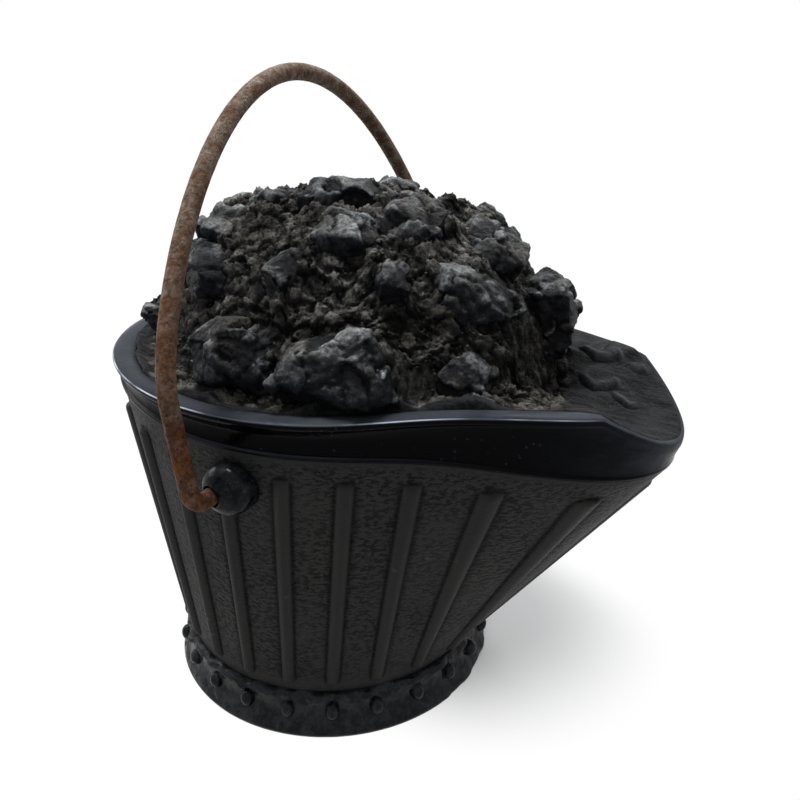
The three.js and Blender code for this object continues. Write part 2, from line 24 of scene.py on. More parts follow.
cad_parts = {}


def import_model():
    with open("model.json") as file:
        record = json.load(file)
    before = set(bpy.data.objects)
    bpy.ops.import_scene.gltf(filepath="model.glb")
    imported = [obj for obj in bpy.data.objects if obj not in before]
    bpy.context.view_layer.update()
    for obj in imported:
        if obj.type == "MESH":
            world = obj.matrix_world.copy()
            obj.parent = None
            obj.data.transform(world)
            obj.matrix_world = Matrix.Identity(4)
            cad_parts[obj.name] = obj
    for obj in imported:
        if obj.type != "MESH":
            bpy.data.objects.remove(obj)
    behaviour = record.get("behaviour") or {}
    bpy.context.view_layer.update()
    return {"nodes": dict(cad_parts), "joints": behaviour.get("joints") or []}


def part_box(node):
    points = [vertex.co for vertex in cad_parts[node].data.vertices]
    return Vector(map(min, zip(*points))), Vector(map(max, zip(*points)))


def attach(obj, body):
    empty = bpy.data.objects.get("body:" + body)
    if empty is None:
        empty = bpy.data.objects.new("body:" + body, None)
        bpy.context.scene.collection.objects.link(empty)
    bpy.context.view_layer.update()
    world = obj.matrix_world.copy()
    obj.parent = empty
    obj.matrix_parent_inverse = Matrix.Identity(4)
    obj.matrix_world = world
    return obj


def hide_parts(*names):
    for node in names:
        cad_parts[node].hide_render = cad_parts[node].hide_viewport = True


log = logging.getLogger("scuttle")

Array = np.ndarray
Material = bpy.types.Material
Node = bpy.types.Node
Piece = bpy.types.Object
Socket = bpy.types.NodeSocket
Tree = bpy.types.NodeTree
Colour = tuple[float, float, float]  # red, green and blue as they look on screen, 0 to 255
Triple = tuple[float, float, float]  # one number for each of x, y and z
Pair = tuple[float, float]

MM = 0.001
ROUGH = "rough"  # vertex attribute: how far the weathering reaches, 0 to 1
PANEL = "panel"  # vertex attribute: 1 on the stippled panels, 0 on ribs and plain strips
WORN_AND_LIT = "worn"  # vertex attribute: 1 where the paint shows wear, and where highlights and sheen are painted on
CREASE = "crease"  # vertex attribute: 1 in a corner or a shadow gap, which the finishes paint dark as shade
RELIEF = "relief"  # vertex attribute: 0 in the hollows of a weathered surface, 1 on its ridges


class Body(Enum):
    """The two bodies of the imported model."""

    SCUTTLE = "scuttle"
    BAIL = "bail"


class Slot(Enum):
    """The record's material slots."""

    WALL = "cast_wall"
    GLOSS = "gloss_black"
    WIRE = "rusty_wire"
    COAL = "coal"
    SLACK = "slack"


# ---- Numbers and curves ------------------------------------------------------------------------------


def smooth_step(low: float, high: float, values: Any) -> Any:
    """Goes smoothly from 0 at low to 1 at high, which may lie on either side of low."""
    share = np.clip((values - low) / (high - low), 0, 1)
    return share * share * (3 - 2 * share)


def bell(values: Any, middle: float, width: float) -> Any:
    """1 at the middle, falling away on both sides."""
    return np.exp(-(((values - middle) / width) ** 2))


def lerp(start: float, end: float, share: float) -> float:
    """The value a share of the way from start to end."""
    return start + (end - start) * share


def turns_of(columns: int, crowding: float = 0.0) -> Array:
    """Angles once round, drawn together near 0, where the lip is, by the crowding."""
    even = np.arange(columns) * 2 * math.pi / columns
    return even - crowding * np.sin(even)


def run_along(points: Array) -> Array:
    """How far along its line each point lies."""
    return np.concatenate([[0], np.cumsum(np.linalg.norm(np.diff(points, axis=0), axis=1))])


def spline(knots: Array, steps: int) -> Array:
    """Points of a smooth curve through knots.

    Args:
        knots: The points that it passes through, one row each.
        steps: How many steps it takes between each two.

    Returns:
        Its points, one row each.
    """
    padded = np.vstack([2 * knots[0] - knots[1], knots, 2 * knots[-1] - knots[-2]])
    share = np.linspace(0, 1, steps, endpoint=False)[:, None]
    parts = []
    for before, start, end, after in zip(padded, padded[1:], padded[2:], padded[3:]):
        square = (2 * before - 5 * start + 4 * end - after) * share**2
        cube = (3 * start - before - 3 * end + after) * share**3
        parts.append(0.5 * (2 * start + (end - before) * share + square + cube))
    return np.vstack([*parts, knots[-1:]])


def bezier(share: Array, *points: Pair) -> Array:
    """A Bezier curve of any degree.

    Args:
        share: How far along each wanted point lies, 0 to 1, as a column.
        *points: The curve's own points.

    Returns:
        The wanted points, one row each.
    """
    degree = len(points) - 1
    return sum(
        math.comb(degree, i) * (1 - share) ** (degree - i) * share**i * np.array(point)
        for i, point in enumerate(points)
    )


def screen_colour(colour: Colour) -> tuple[float, float, float, float]:
    """Turns a colour as it looks on screen into the renderer's own scale.

    Args:
        colour: Red, green and blue, 0 to 255.

    Returns:
        Linear red, green, blue and an alpha of 1.
    """

    def linear(value: float) -> float:
        """Undoes the screen's curve for one channel."""
        share = value / 255
        return share / 12.92 if share <= 0.04045 else ((share + 0.055) / 1.055) ** 2.4

    return (*(linear(value) for value in colour), 1.0)


# ---- Mesh tools --------------------------------------------------------------------------------------


def linked(name: str, data: bpy.types.ID) -> Piece:
    """Puts a mesh, camera or lamp into the scene as an object at the origin.

    Args:
        name: Its name.
        data: Its mesh, camera or light.

    Returns:
        The new object.
    """
    piece = bpy.data.objects.new(name, data)
    bpy.context.scene.collection.objects.link(piece)
    return piece


def shade_smooth(piece: Piece) -> None:
    """Shades all the faces of a piece smooth."""
    piece.data.polygons.foreach_set("use_smooth", [True] * len(piece.data.polygons))


def mesh_piece(
    name: str,
    points: Array,
    faces: Iterable[Sequence[int]] = (),
    edges: Iterable[Sequence[int]] = (),
) -> Piece:
    """Makes an object at the origin from points in millimetres.

    Args:
        name: The piece's name.
        points: One row of x, y, z for each vertex, in millimetres.
        faces: Vertex numbers of each face, counterclockwise from outside.
        edges: Vertex numbers of each loose edge.

    Returns:
        The new object, linked into the scene.
    """
    mesh = bpy.data.meshes.new(name)
    mesh.from_pydata((np.asarray(points) * MM).tolist(), list(edges), [list(face) for face in faces])
    mesh.update()
    piece = linked(name, mesh)
    shade_smooth(piece)
    return piece


def loft(name: str, rings: Sequence[Array], loops: bool = False) -> Piece:
    """Makes a closed skin through rings of equally many points.

    Args:
        name: The piece's name.
        rings: Rings of x, y, z rows in millimetres, counterclockwise seen from the end of the last one.
        loops: Whether the last ring joins the first. If not, both ends are capped.

    Returns:
        The new object.
    """
    count = len(rings[0])
    points = np.concatenate(rings)
    low = np.arange(count)
    after = (low + 1) % count
    faces = []
    for first in range(0, (len(rings) - 1) * count, count):
        above = first + count
        faces += np.stack([first + low, first + after, above + after, above + low], 1).tolist()
    last = (len(rings) - 1) * count
    if loops:
        faces += np.stack([last + low, last + after, after, low], 1).tolist()
    else:
        for ring, first, flip in ((rings[0], 0, True), (rings[-1], last, False)):
            points = np.vstack([points, ring.mean(axis=0)])
            middle = len(points) - 1
            pair = (after, low) if flip else (low, after)
            faces += [[middle, first + a, first + b] for a, b in zip(*pair)]
    return mesh_piece(name, points, faces)


def paint(piece: Piece, attribute: str, values: Array) -> None:
    """Writes one number for each vertex.

    Args:
        piece: The piece.
        attribute: The attribute's name.
        values: The numbers. Where they are too few, the last one is used for the rest.
    """
    mesh = piece.data
    full = np.full(len(mesh.vertices), float(values[-1]), np.float32)
    full[: len(values)] = values
    layer = mesh.attributes.get(attribute) or mesh.attributes.new(attribute, "FLOAT", "POINT")
    layer.data.foreach_set("value", full)


def heights_of(piece: Piece) -> Array:
    """How high each of the piece's vertices lies, in millimetres.

    Args:
        piece: The piece.

    Returns:
        The height of each of its points, in millimetres.
    """
    flat = np.zeros(len(piece.data.vertices) * 3)
    piece.data.vertices.foreach_get("co", flat)
    return flat[2::3] / MM


def settle(piece: Piece) -> Piece:
    """Turns a piece's modifiers into plain mesh and takes them off.

    Args:
        piece: The piece.

    Returns:
        The same piece.
    """
    graph = bpy.context.evaluated_depsgraph_get()
    evaluated = piece.evaluated_get(graph)
    made = bpy.data.meshes.new_from_object(evaluated, preserve_all_data_layers=True, depsgraph=graph)
    piece.modifiers.clear()
    old, piece.data = piece.data, made
    bpy.data.meshes.remove(old)
    made.name = piece.name
    return piece


def even_copy(solid: Piece, name: str, voxel: float, rounds: int) -> Piece:
    """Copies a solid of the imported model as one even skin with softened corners.

    Args:
        solid: The solid, whose mesh is loose triangles.
        name: The copy's name.
        voxel: How fine the skin is, in millimetres.
        rounds: How many times its corners are softened.

    Returns:
        The copy.
    """
    mesh = solid.data.copy()
    work = bmesh.new()
    work.from_mesh(mesh)
    bmesh.ops.remove_doubles(work, verts=work.verts, dist=1e-6)
    work.to_mesh(mesh)
    work.free()
    mesh.materials.clear()
    mesh.name = name
    piece = linked(name, mesh)
    remesh = piece.modifiers.new("Even skin", "REMESH")
    remesh.mode = "VOXEL"
    remesh.voxel_size = voxel * MM
    soften = piece.modifiers.new("Soft corners", "SMOOTH")
    soften.factor = 0.5
    soften.iterations = rounds
    return settle(piece)


def dress(piece: Piece, finish: Material) -> None:
    """Gives a piece one finish."""
    piece.data.materials.clear()
    piece.data.materials.append(finish)


def place(piece: Piece, body: Body, slot: Slot, *nodes: str) -> None:
    """Puts a finished piece on its body, in place of its solids.

    Args:
        piece: The finished piece.
        body: The body that it moves with.
        slot: The record's slot that it takes its finish from. It is not used.
        *nodes: The solids that it stands for.
    """
    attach(piece, body.value)
    if nodes:
        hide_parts(*nodes)
    log.info("%s: %d faces", piece.name, len(piece.data.polygons))


# ---- Node trees --------------------------------------------------------------------------------------


class Graph:
    """A node tree while it is built, with short ways to add what the trees here use."""

    def __init__(self, tree: Tree) -> None:
        """Starts on an empty tree."""
        self.tree = tree
        tree.nodes.clear()

    def add(self, kind: str, inputs: dict[Any, Any] | None = None, **settings: Any) -> Node:
        """Adds a node.

        Args:
            kind: Blender's name of the node type.
            inputs: Values or sockets for its inputs, by name or number.
            **settings: The node's own properties.

        Returns:
            The new node.
        """
        node = self.tree.nodes.new(kind)
        for key, value in settings.items():
            setattr(node, key, value)
        for key, value in (inputs or {}).items():
            self.feed(node.inputs[key], value)
        return node

    def get(self, kind: str, inputs: Any = None, output: Any = 0, **settings: Any) -> Socket:
        """Adds a node and gives one of its outputs, by name or number."""
        return self.add(kind, inputs, **settings).outputs[output]

    def feed(self, socket: Socket, value: Any) -> None:
        """Links a socket, or sets its plain value.

        Args:
            socket: The input.
            value: A socket to link, or a plain value.
        """
        if isinstance(value, Socket):
            self.tree.links.new(value, socket)
        else:
            socket.default_value = value

    def math(self, operation: str, first: Any, second: Any = 0.0, third: Any = 0.0) -> Socket:
        """The result of one sum on numbers."""
        return self.get("ShaderNodeMath", {0: first, 1: second, 2: third}, operation=operation)

    def product(self, *factors: Any) -> Any:
        """Numbers multiplied, from the first on.

        Args:
            values: Sockets or numbers.

        Returns:
            Their product.
        """
        total = factors[0]
        for factor in factors[1:]:
            total = self.math("MULTIPLY", total, factor)
        return total

    def line(self, value: Any, slope: float, start: Any) -> Socket:
        """A number times a slope, plus a start."""
        return self.math("MULTIPLY_ADD", value, slope, start)

    def vector(self, operation: str, first: Any, second: Any = (0, 0, 0)) -> Socket:
        """The result of one sum on vectors."""
        return self.get("ShaderNodeVectorMath", {0: first, 1: second}, operation=operation)

    def scaled(self, vector: Any, factor: Any) -> Socket:
        """A vector times a number."""
        return self.get("ShaderNodeVectorMath", {0: vector, "Scale": factor}, operation="SCALE")

    def away_from(self, spot: Socket, middle: Triple) -> Socket:
        """How far a place is from a middle, which is given in millimetres."""
        inputs = {0: spot, 1: tuple(value * MM for value in middle)}
        return self.get("ShaderNodeVectorMath", inputs, "Value", operation="DISTANCE")

    def ramp(self, value: Any, low: Any, high: Any, start: float = 0.0, end: float = 1.0) -> Socket:
        """A smooth rise from start to end while the value goes from low to high."""
        inputs = {"Value": value, "From Min": low, "From Max": high, "To Min": start, "To Max": end}
        return self.get("ShaderNodeMapRange", inputs, "Result", interpolation_type="SMOOTHSTEP")

    def blend(self, share: Any, first: Any, second: Any) -> Socket:
        """One colour going over into another, each a socket or a colour as it looks on screen."""
        pair = [screen_colour(value) if isinstance(value, tuple) else value for value in (first, second)]
        return self.get("ShaderNodeMix", {0: share, 6: pair[0], 7: pair[1]}, 2, data_type="RGBA")

    def scale_of(self, size: Any) -> Any:
        """The scale of a pattern whose swellings or cells have this size."""
        return self.math("DIVIDE", 1.0, size) if isinstance(size, Socket) else 1.0 / size

    def noise(
        self, spot: Any, size: Any, detail: float = 3.0, roughness: float = 0.55, seed: Any = 0.0
    ) -> Socket:
        """Cloudy noise, about 0.5 in the middle.

        Args:
            spot: Where on the surface.
            size: The size of its swellings.
            detail: How many finer layers it has.
            roughness: How strong these are.
            seed: A number that makes it another noise.

        Returns:
            The noise.
        """
        inputs = {"Vector": spot, "W": seed, "Detail": detail, "Roughness": roughness}
        inputs["Scale"] = self.scale_of(size)
        return self.get("ShaderNodeTexNoise", inputs, noise_dimensions="4D")

    def cells(self, spot: Any, size: Any, feature: str = "F1") -> Node:
        """A cell pattern with cells of the given size."""
        inputs = {"Vector": spot, "Scale": self.scale_of(size)}
        return self.add("ShaderNodeTexVoronoi", inputs, feature=feature)

    def up(self, vector: Socket) -> Socket:
        """The upward part of a vector."""
        return self.get("ShaderNodeSeparateXYZ", {0: vector}, "Z")

    def seen(self) -> Socket:
        """1 where a ray comes from the camera, or mirrors or passes through something on its way.

        Returns:
            The mask.
        """
        path = self.add("ShaderNodeLightPath").outputs
        seen = self.math("MAXIMUM", path["Is Camera Ray"], path["Is Glossy Ray"])
        return self.math("MAXIMUM", seen, path["Is Transmission Ray"])


FLOAT, VECTOR = "NodeSocketFloat", "NodeSocketVector"
GEOMETRY, MATERIAL, INTEGER = "NodeSocketGeometry", "NodeSocketMaterial", "NodeSocketInt"


def new_group(
    name: str, kind: str, inputs: dict[str, Any], outputs: dict[str, str]
) -> tuple[Graph, Any, Any]:
    """Starts a node group with named sockets.

    Args:
        name: The group's name.
        kind: ShaderNodeTree or GeometryNodeTree.
        inputs: For each input, its default number, or its socket type where it has none.
        outputs: For each output, its socket type.

    Returns:
        The graph, the sockets that give its inputs and those that take its outputs.
    """
    tree = bpy.data.node_groups.new(name, kind)
    for label, value in inputs.items():
        typed = isinstance(value, str)
        socket_type = value if typed else INTEGER if isinstance(value, int) else FLOAT
        socket = tree.interface.new_socket(label, in_out="INPUT", socket_type=socket_type)
        if not typed:
            socket.default_value = value
    for label, socket_type in outputs.items():
        tree.interface.new_socket(label, in_out="OUTPUT", socket_type=socket_type)
    graph = Graph(tree)
    return graph, graph.add("NodeGroupInput").outputs, graph.add("NodeGroupOutput").inputs


def geometry_tree(name: str, inputs: dict[str, Any]) -> tuple[Graph, Any, Any]:
    """Starts a Geometry Nodes tree.

    Args:
        name: The tree's name.
        inputs: Its inputs between the mesh that it starts from and the material, as for new_group.

    Returns:
        The graph, the sockets that give its inputs and those that take its outputs.
    """
    inputs = {"Geometry": GEOMETRY, **inputs, "Material": MATERIAL}
    return new_group(name, "GeometryNodeTree", inputs, {"Geometry": GEOMETRY})


def end_tree(graph: Graph, given: Any, taken: Any, geometry: Socket) -> Tree:
    """Ends a Geometry Nodes tree with real instances and its material.

    Args:
        graph: The tree.
        given: The sockets that give its inputs.
        taken: The sockets that take its outputs.
        geometry: What it made.

    Returns:
        The finished tree.
    """
    whole = graph.get("GeometryNodeRealizeInstances", {"Geometry": geometry})
    dressed = graph.get("GeometryNodeSetMaterial", {"Geometry": whole, "Material": given["Material"]})
    graph.feed(taken["Geometry"], dressed)
    return graph.tree


def run_tree(piece: Piece, tree: Tree, values: dict[str, Any]) -> Piece:
    """Runs a Geometry Nodes tree on a piece and keeps the result as plain mesh.

    Args:
        piece: The piece that it starts from.
        tree: The tree.
        values: Its named inputs.

    Returns:
        The piece, without the modifier.
    """
    modifier = piece.modifiers.new(tree.name, "NODES")
    modifier.node_group = tree
    for item in tree.interface.items_tree:
        if item.item_type == "SOCKET" and item.in_out == "INPUT" and item.name in values:
            modifier[item.identifier] = values[item.name]
    return settle(piece)


def shifted_along_normals(graph: Graph, geometry: Socket, depth: Socket) -> Socket:
    """Pushes a surface outwards along its normals by a depth."""
    normal = graph.get("GeometryNodeInputNormal")
    return graph.get("GeometryNodeSetPosition", {"Geometry": geometry, "Offset": graph.scaled(normal, depth)})


def rough_weight(graph: Graph) -> Socket:
    """How far the weathering reaches at each vertex."""
    return graph.get("GeometryNodeInputNamedAttribute", {"Name": ROUGH}, "Attribute", data_type="FLOAT")


def facets(graph: Graph, spot: Any, size: Any, tilt: Any, step: Any) -> Socket:
    """Height of a surface broken into flat, tilted faces.

    Args:
        graph: The tree that it is added to.
        spot: Where on the surface.
        size: Size of a face.
        tilt: How steeply the faces tilt.
        step: How far one face stands above the next.

    Returns:
        The height, in metres.
    """
    cell = graph.cells(spot, size).outputs
    chance = graph.vector("SUBTRACT", cell["Color"], (0.5, 0.5, 0.5))
    along = graph.vector("SUBTRACT", spot, cell["Position"])
    slant = graph.get("ShaderNodeVectorMath", {0: along, 1: chance}, "Value", operation="DOT_PRODUCT")
    level = graph.get("ShaderNodeSeparateXYZ", {0: chance}, "X")
    return graph.math("MULTIPLY_ADD", slant, tilt, graph.product(level, step))


@dataclass(frozen=True)
class Breakage:
    """How a surface is weathered. Sizes, depths and steps are in millimetres, and tilts are slopes."""

    broad_size: float
    broad_depth: float
    face_size: float
    face_tilt: float
    face_step: float
    crack_depth: float
    chip_size: float
    chip_tilt: float
    grit_size: float
    grit_depth: float
    full_depth: float  # the depth that counts as a ridge's top or a hollow's bottom

    def values(self, seed: float, finish: Material) -> dict[str, Any]:
        """The weathering tree's inputs.

        Args:
            seed: A number that makes the piece's breaks its own.
            finish: The piece's finish.

        Returns:
            Each input by its name, in metres.
        """
        values = {"Seed": seed, "Material": finish}
        for name, value in asdict(self).items():
            values[name.replace("_", " ").title()] = value if name.endswith("tilt") else value * MM
        return values


def weathering_tree() -> Tree:
    """Pushes a surface in and out along its normals: swellings, broken faces, chips, cracks and grit.

    Returns:
        The tree.
    """
    names = [name.replace("_", " ").title() for name in Breakage.__dataclass_fields__]
    graph, given, taken = geometry_tree("Weathering", {**dict.fromkeys(names, 0.0), "Seed": 1.0})
    size, seed = given["Face Size"], given["Seed"]
    spot = graph.get("GeometryNodeInputPosition")
    shift = graph.vector("ADD", spot, graph.scaled((0.013, 0.029, 0.017), seed))
    inputs = {"Vector": shift, "Scale": graph.scale_of(size), "Detail": 3.0, "Roughness": 0.6}
    cloud = graph.get("ShaderNodeTexNoise", inputs, "Color")
    waver = graph.vector("SUBTRACT", cloud, (0.5, 0.5, 0.5))
    bent = graph.vector("ADD", shift, graph.scaled(waver, graph.product(size, 0.9)))
    broad = graph.math("SUBTRACT", graph.noise(shift, given["Broad Size"], 2.0, 0.5, seed), 0.5)
    grit = graph.math("SUBTRACT", graph.noise(shift, given["Grit Size"], 4.0, 0.7, seed), 0.5)
    edge = graph.cells(bent, size, "DISTANCE_TO_EDGE").outputs["Distance"]
    crack = graph.product(graph.ramp(edge, 0.0, 0.12, 1.0, 0.0), given["Crack Depth"])
    depth = graph.product(broad, graph.product(given["Broad Depth"], 2.0))
    depth = graph.math("ADD", depth, facets(graph, bent, size, given["Face Tilt"], given["Face Step"]))
    depth = graph.math("ADD", depth, facets(graph, bent, given["Chip Size"], given["Chip Tilt"], 0.0))
    depth = graph.math("SUBTRACT", depth, crack)
    depth = graph.math("MULTIPLY_ADD", grit, graph.product(given["Grit Depth"], 2.0), depth)
    share = graph.math("DIVIDE", depth, graph.product(given["Full Depth"], 2.0))
    inputs = {"Geometry": given["Geometry"], "Name": RELIEF, "Value": graph.math("ADD", share, 0.5)}
    noted = graph.get("GeometryNodeStoreNamedAttribute", inputs, data_type="FLOAT", domain="POINT")
    moved = shifted_along_normals(graph, noted, graph.product(depth, rough_weight(graph)))
    return end_tree(graph, given, taken, moved)


def wire_tree() -> Tree:
    """Lays a round wire along a line of edges, with closed ends and a lightly rusted skin.

    Returns:
        The tree.
    """
    sizes = {"Radius": 0.0015, "Sides": 28, "Scale Size": 0.0016, "Scale Depth": 0.00006, "Seed": 3.0}
    graph, given, taken = geometry_tree("Wire", sizes)
    curve = graph.get("GeometryNodeMeshToCurve", {"Mesh": given["Geometry"]})
    section = {"Radius": given["Radius"], "Resolution": given["Sides"]}
    section = graph.get("GeometryNodeCurvePrimitiveCircle", section)
    swept = {"Curve": curve, "Profile Curve": section, "Fill Caps": True}
    swept = graph.get("GeometryNodeCurveToMesh", swept)
    spot = graph.get("GeometryNodeInputPosition")
    scale = graph.math("SUBTRACT", graph.noise(spot, given["Scale Size"], 3.0, 0.6, given["Seed"]), 0.5)
    depth = graph.product(scale, graph.product(given["Scale Depth"], 2.0))
    return end_tree(graph, given, taken, shifted_along_normals(graph, swept, depth))


def beads_tree() -> Tree:
    """Sets a row of beads round a ring: a taller-than-wide drop at each step of the circle.

    Returns:
        The tree.
    """
    sizes = {"Ring Radius": 0.033, "Bead Radius": 0.0013, "Stretch": 1.35, "Unevenness": 0.08}
    graph, given, taken = geometry_tree("Beads", {"Count": 24, **sizes, "Seed": 5})
    circle = {"Vertices": given["Count"], "Radius": given["Ring Radius"]}
    circle = graph.get("GeometryNodeMeshCircle", circle, fill_type="NONE")
    ball = {"Segments": 20, "Rings": 12, "Radius": given["Bead Radius"]}
    bead = graph.get("GeometryNodeMeshUVSphere", ball)
    tall = graph.get("ShaderNodeCombineXYZ", {"X": 1.0, "Y": 1.0, "Z": given["Stretch"]})
    least = graph.math("SUBTRACT", 1.0, given["Unevenness"])
    most = graph.math("ADD", 1.0, given["Unevenness"])
    chance = {2: least, 3: most, "Seed": given["Seed"]}
    uneven = graph.get("FunctionNodeRandomValue", chance, 1, data_type="FLOAT")
    row = {"Points": circle, "Instance": bead, "Scale": graph.scaled(tall, uneven)}
    row = graph.get("GeometryNodeInstanceOnPoints", row)
    whole = graph.get("GeometryNodeRealizeInstances", {"Geometry": row})
    return end_tree(graph, given, taken, graph.get("GeometryNodeSetShadeSmooth", {"Geometry": whole}))


def grains_tree() -> Tree:
    """Strews angular grains over a surface where its weathering is strong.

    Returns:
        The tree.
    """
    sizes = {"Per Square Metre": 300000.0, "Grain Radius": 0.0004, "Seed": 11}
    graph, given, taken = geometry_tree("Grains", sizes)
    spots = {"Mesh": given["Geometry"], "Selection": graph.math("GREATER_THAN", rough_weight(graph), 0.75)}
    spots |= {"Density": given["Per Square Metre"], "Seed": given["Seed"]}
    spots = graph.get("GeometryNodeDistributePointsOnFaces", spots)
    grain = graph.get("GeometryNodeMeshIcoSphere", {"Radius": given["Grain Radius"], "Subdivisions": 1})
    strewn = {"Points": spots, "Instance": grain}
    for label, least, most in (
        ("Rotation", (0.0, 0.0, 0.0), (6.28, 6.28, 6.28)),
        ("Scale", (0.45, 0.4, 0.35), (1.6, 1.3, 1.1)),
    ):
        chance = {0: least, 1: most, "Seed": given["Seed"]}
        strewn[label] = graph.get("FunctionNodeRandomValue", chance, data_type="FLOAT_VECTOR")
    return end_tree(graph, given, taken, graph.get("GeometryNodeInstanceOnPoints", strewn))


# ---- Effects shared by the finishes ------------------------------------------------------------------


@dataclass
class Effects:
    """Shader groups that more than one finish uses."""

    dust: Tree = field(init=False)
    grain: Tree = field(init=False)
    specks: Tree = field(init=False)

    def __post_init__(self) -> None:
        """Builds each group once."""
        self.dust = self.build_dust()
        self.grain = self.build_grain()
        self.specks = self.build_specks()

    def build_dust(self) -> Tree:
        """Dust that lies on what faces up, in patches.

        Returns:
            The group.
        """
        inputs = {"Place": VECTOR, "Patch Size": 0.006, "Level From": 0.1, "Level To": 0.9, "Cover": 0.6}
        graph, given, taken = new_group("Settled dust", "ShaderNodeTree", inputs, {"Mask": FLOAT})
        normal = graph.get("ShaderNodeNewGeometry", output="Normal")
        level = graph.ramp(graph.up(normal), given["Level From"], given["Level To"])
        patch = graph.noise(given["Place"], given["Patch Size"], 5.0, 0.65)
        patch = graph.ramp(patch, 0.32, 0.68, 0.25, 1.0)
        graph.feed(taken["Mask"], graph.product(level, patch, given["Cover"]))
        return graph.tree

    def build_grain(self) -> Tree:
        """Fine uneven grain: its height, and a mask of its hollows.

        Returns:
            The group.
        """
        inputs = {"Place": VECTOR, "Size": 0.001, "Level": 0.46, "Sharpness": 0.08}
        outputs = {"Height": FLOAT, "Hollows": FLOAT}
        graph, given, taken = new_group("Grain", "ShaderNodeTree", inputs, outputs)
        height = graph.noise(given["Place"], given["Size"], 3.0, 0.6)
        low = graph.math("SUBTRACT", given["Level"], given["Sharpness"])
        high = graph.math("ADD", given["Level"], given["Sharpness"])
        graph.feed(taken["Height"], height)
        graph.feed(taken["Hollows"], graph.ramp(height, low, high, 1.0, 0.0))
        return graph.tree

    def build_specks(self) -> Tree:
        """Small separate specks, of which only some cells hold one.

        Returns:
            The group.
        """
        inputs = {"Place": VECTOR, "Size": 0.0015, "Share": 0.3}
        graph, given, taken = new_group("Specks", "ShaderNodeTree", inputs, {"Mask": FLOAT})
        cell = graph.cells(given["Place"], given["Size"]).outputs
        spot = graph.ramp(cell["Distance"], 0.12, 0.3, 1.0, 0.0)
        chance = graph.get("ShaderNodeSeparateColor", {0: cell["Color"]})
        graph.feed(taken["Mask"], graph.product(spot, graph.math("LESS_THAN", chance, given["Share"])))
        return graph.tree


class Finish:
    """A material while it is built: its tree, its shader and the pattern's place."""

    def __init__(self, name: str, effects: Effects) -> None:
        """Starts a material with one Principled shader.

        Args:
            name: The material's name.
            effects: The shader groups that it may use.
        """
        self.material = bpy.data.materials.new(name)
        self.material.use_nodes = True
        self.effects = effects
        self.graph = Graph(self.material.node_tree)
        self.shader = self.graph.add("ShaderNodeBsdfPrincipled")
        output = self.graph.add("ShaderNodeOutputMaterial")
        self.graph.feed(output.inputs["Surface"], self.shader.outputs["BSDF"])
        self.place = self.graph.get("ShaderNodeTexCoord", output="Object")

    def group(self, tree: Tree, **values: Any) -> Any:
        """Places a shared effect.

        Args:
            tree: The effect's group.
            **values: Its inputs, named with _ for a space. Its place is the pattern's unless given.

        Returns:
            Its outputs.
        """
        node = self.graph.add("ShaderNodeGroup", node_tree=tree)
        for key, value in {"Place": self.place, **values}.items():
            self.graph.feed(node.inputs[key.replace("_", " ")], value)
        return node.outputs

    def mapped(self, scale: Triple) -> Socket:
        """The pattern's place, stretched by a factor along each axis."""
        return self.graph.get("ShaderNodeMapping", {"Vector": self.place, "Scale": scale})

    def patches(
        self,
        size: float,
        spread: Pair,
        levels: Pair = (0.0, 1.0),
        detail: float = 3.0,
        roughness: float = 0.55,
        place: Socket | None = None,
    ) -> Socket:
        """Cloudy patches with soft edges.

        Args:
            size: Their size, in metres.
            spread: The noise's values at which a patch starts and is full.
            levels: The results there.
            detail: How many finer layers the noise has.
            roughness: How strong these are.
            place: Where on the surface, if not the pattern's place.

        Returns:
            A value between the two levels.
        """
        noise = self.graph.noise(self.place if place is None else place, size, detail, roughness)
        return self.graph.ramp(noise, *spread, *levels)

    def attribute(self, name: str) -> Socket:
        """A vertex attribute of the piece."""
        return self.graph.get("ShaderNodeAttribute", output="Fac", attribute_name=name)

    def bump(self, *layers: tuple[Any, float]) -> None:
        """Gives the shader a surface.

        Args:
            *layers: Pairs of a height, about 0 to 1, and how many metres that is.
        """
        normal = None
        for height, depth in layers:
            node = self.graph.add("ShaderNodeBump", {"Height": height, "Distance": depth, "Strength": 1.0})
            if normal is not None:
                self.graph.feed(node.inputs["Normal"], normal)
            normal = node.outputs["Normal"]
        self.graph.feed(self.shader.inputs["Normal"], normal)

    def close(self, **values: Any) -> Material:
        """Feeds the shader's sockets and ends the material.

        Args:
            **values: The shader's inputs, named with _ for a space.

        Returns:
            The material.
        """
        for key, value in values.items():
            self.graph.feed(self.shader.inputs[key.replace("_", " ")], value)
        return self.material


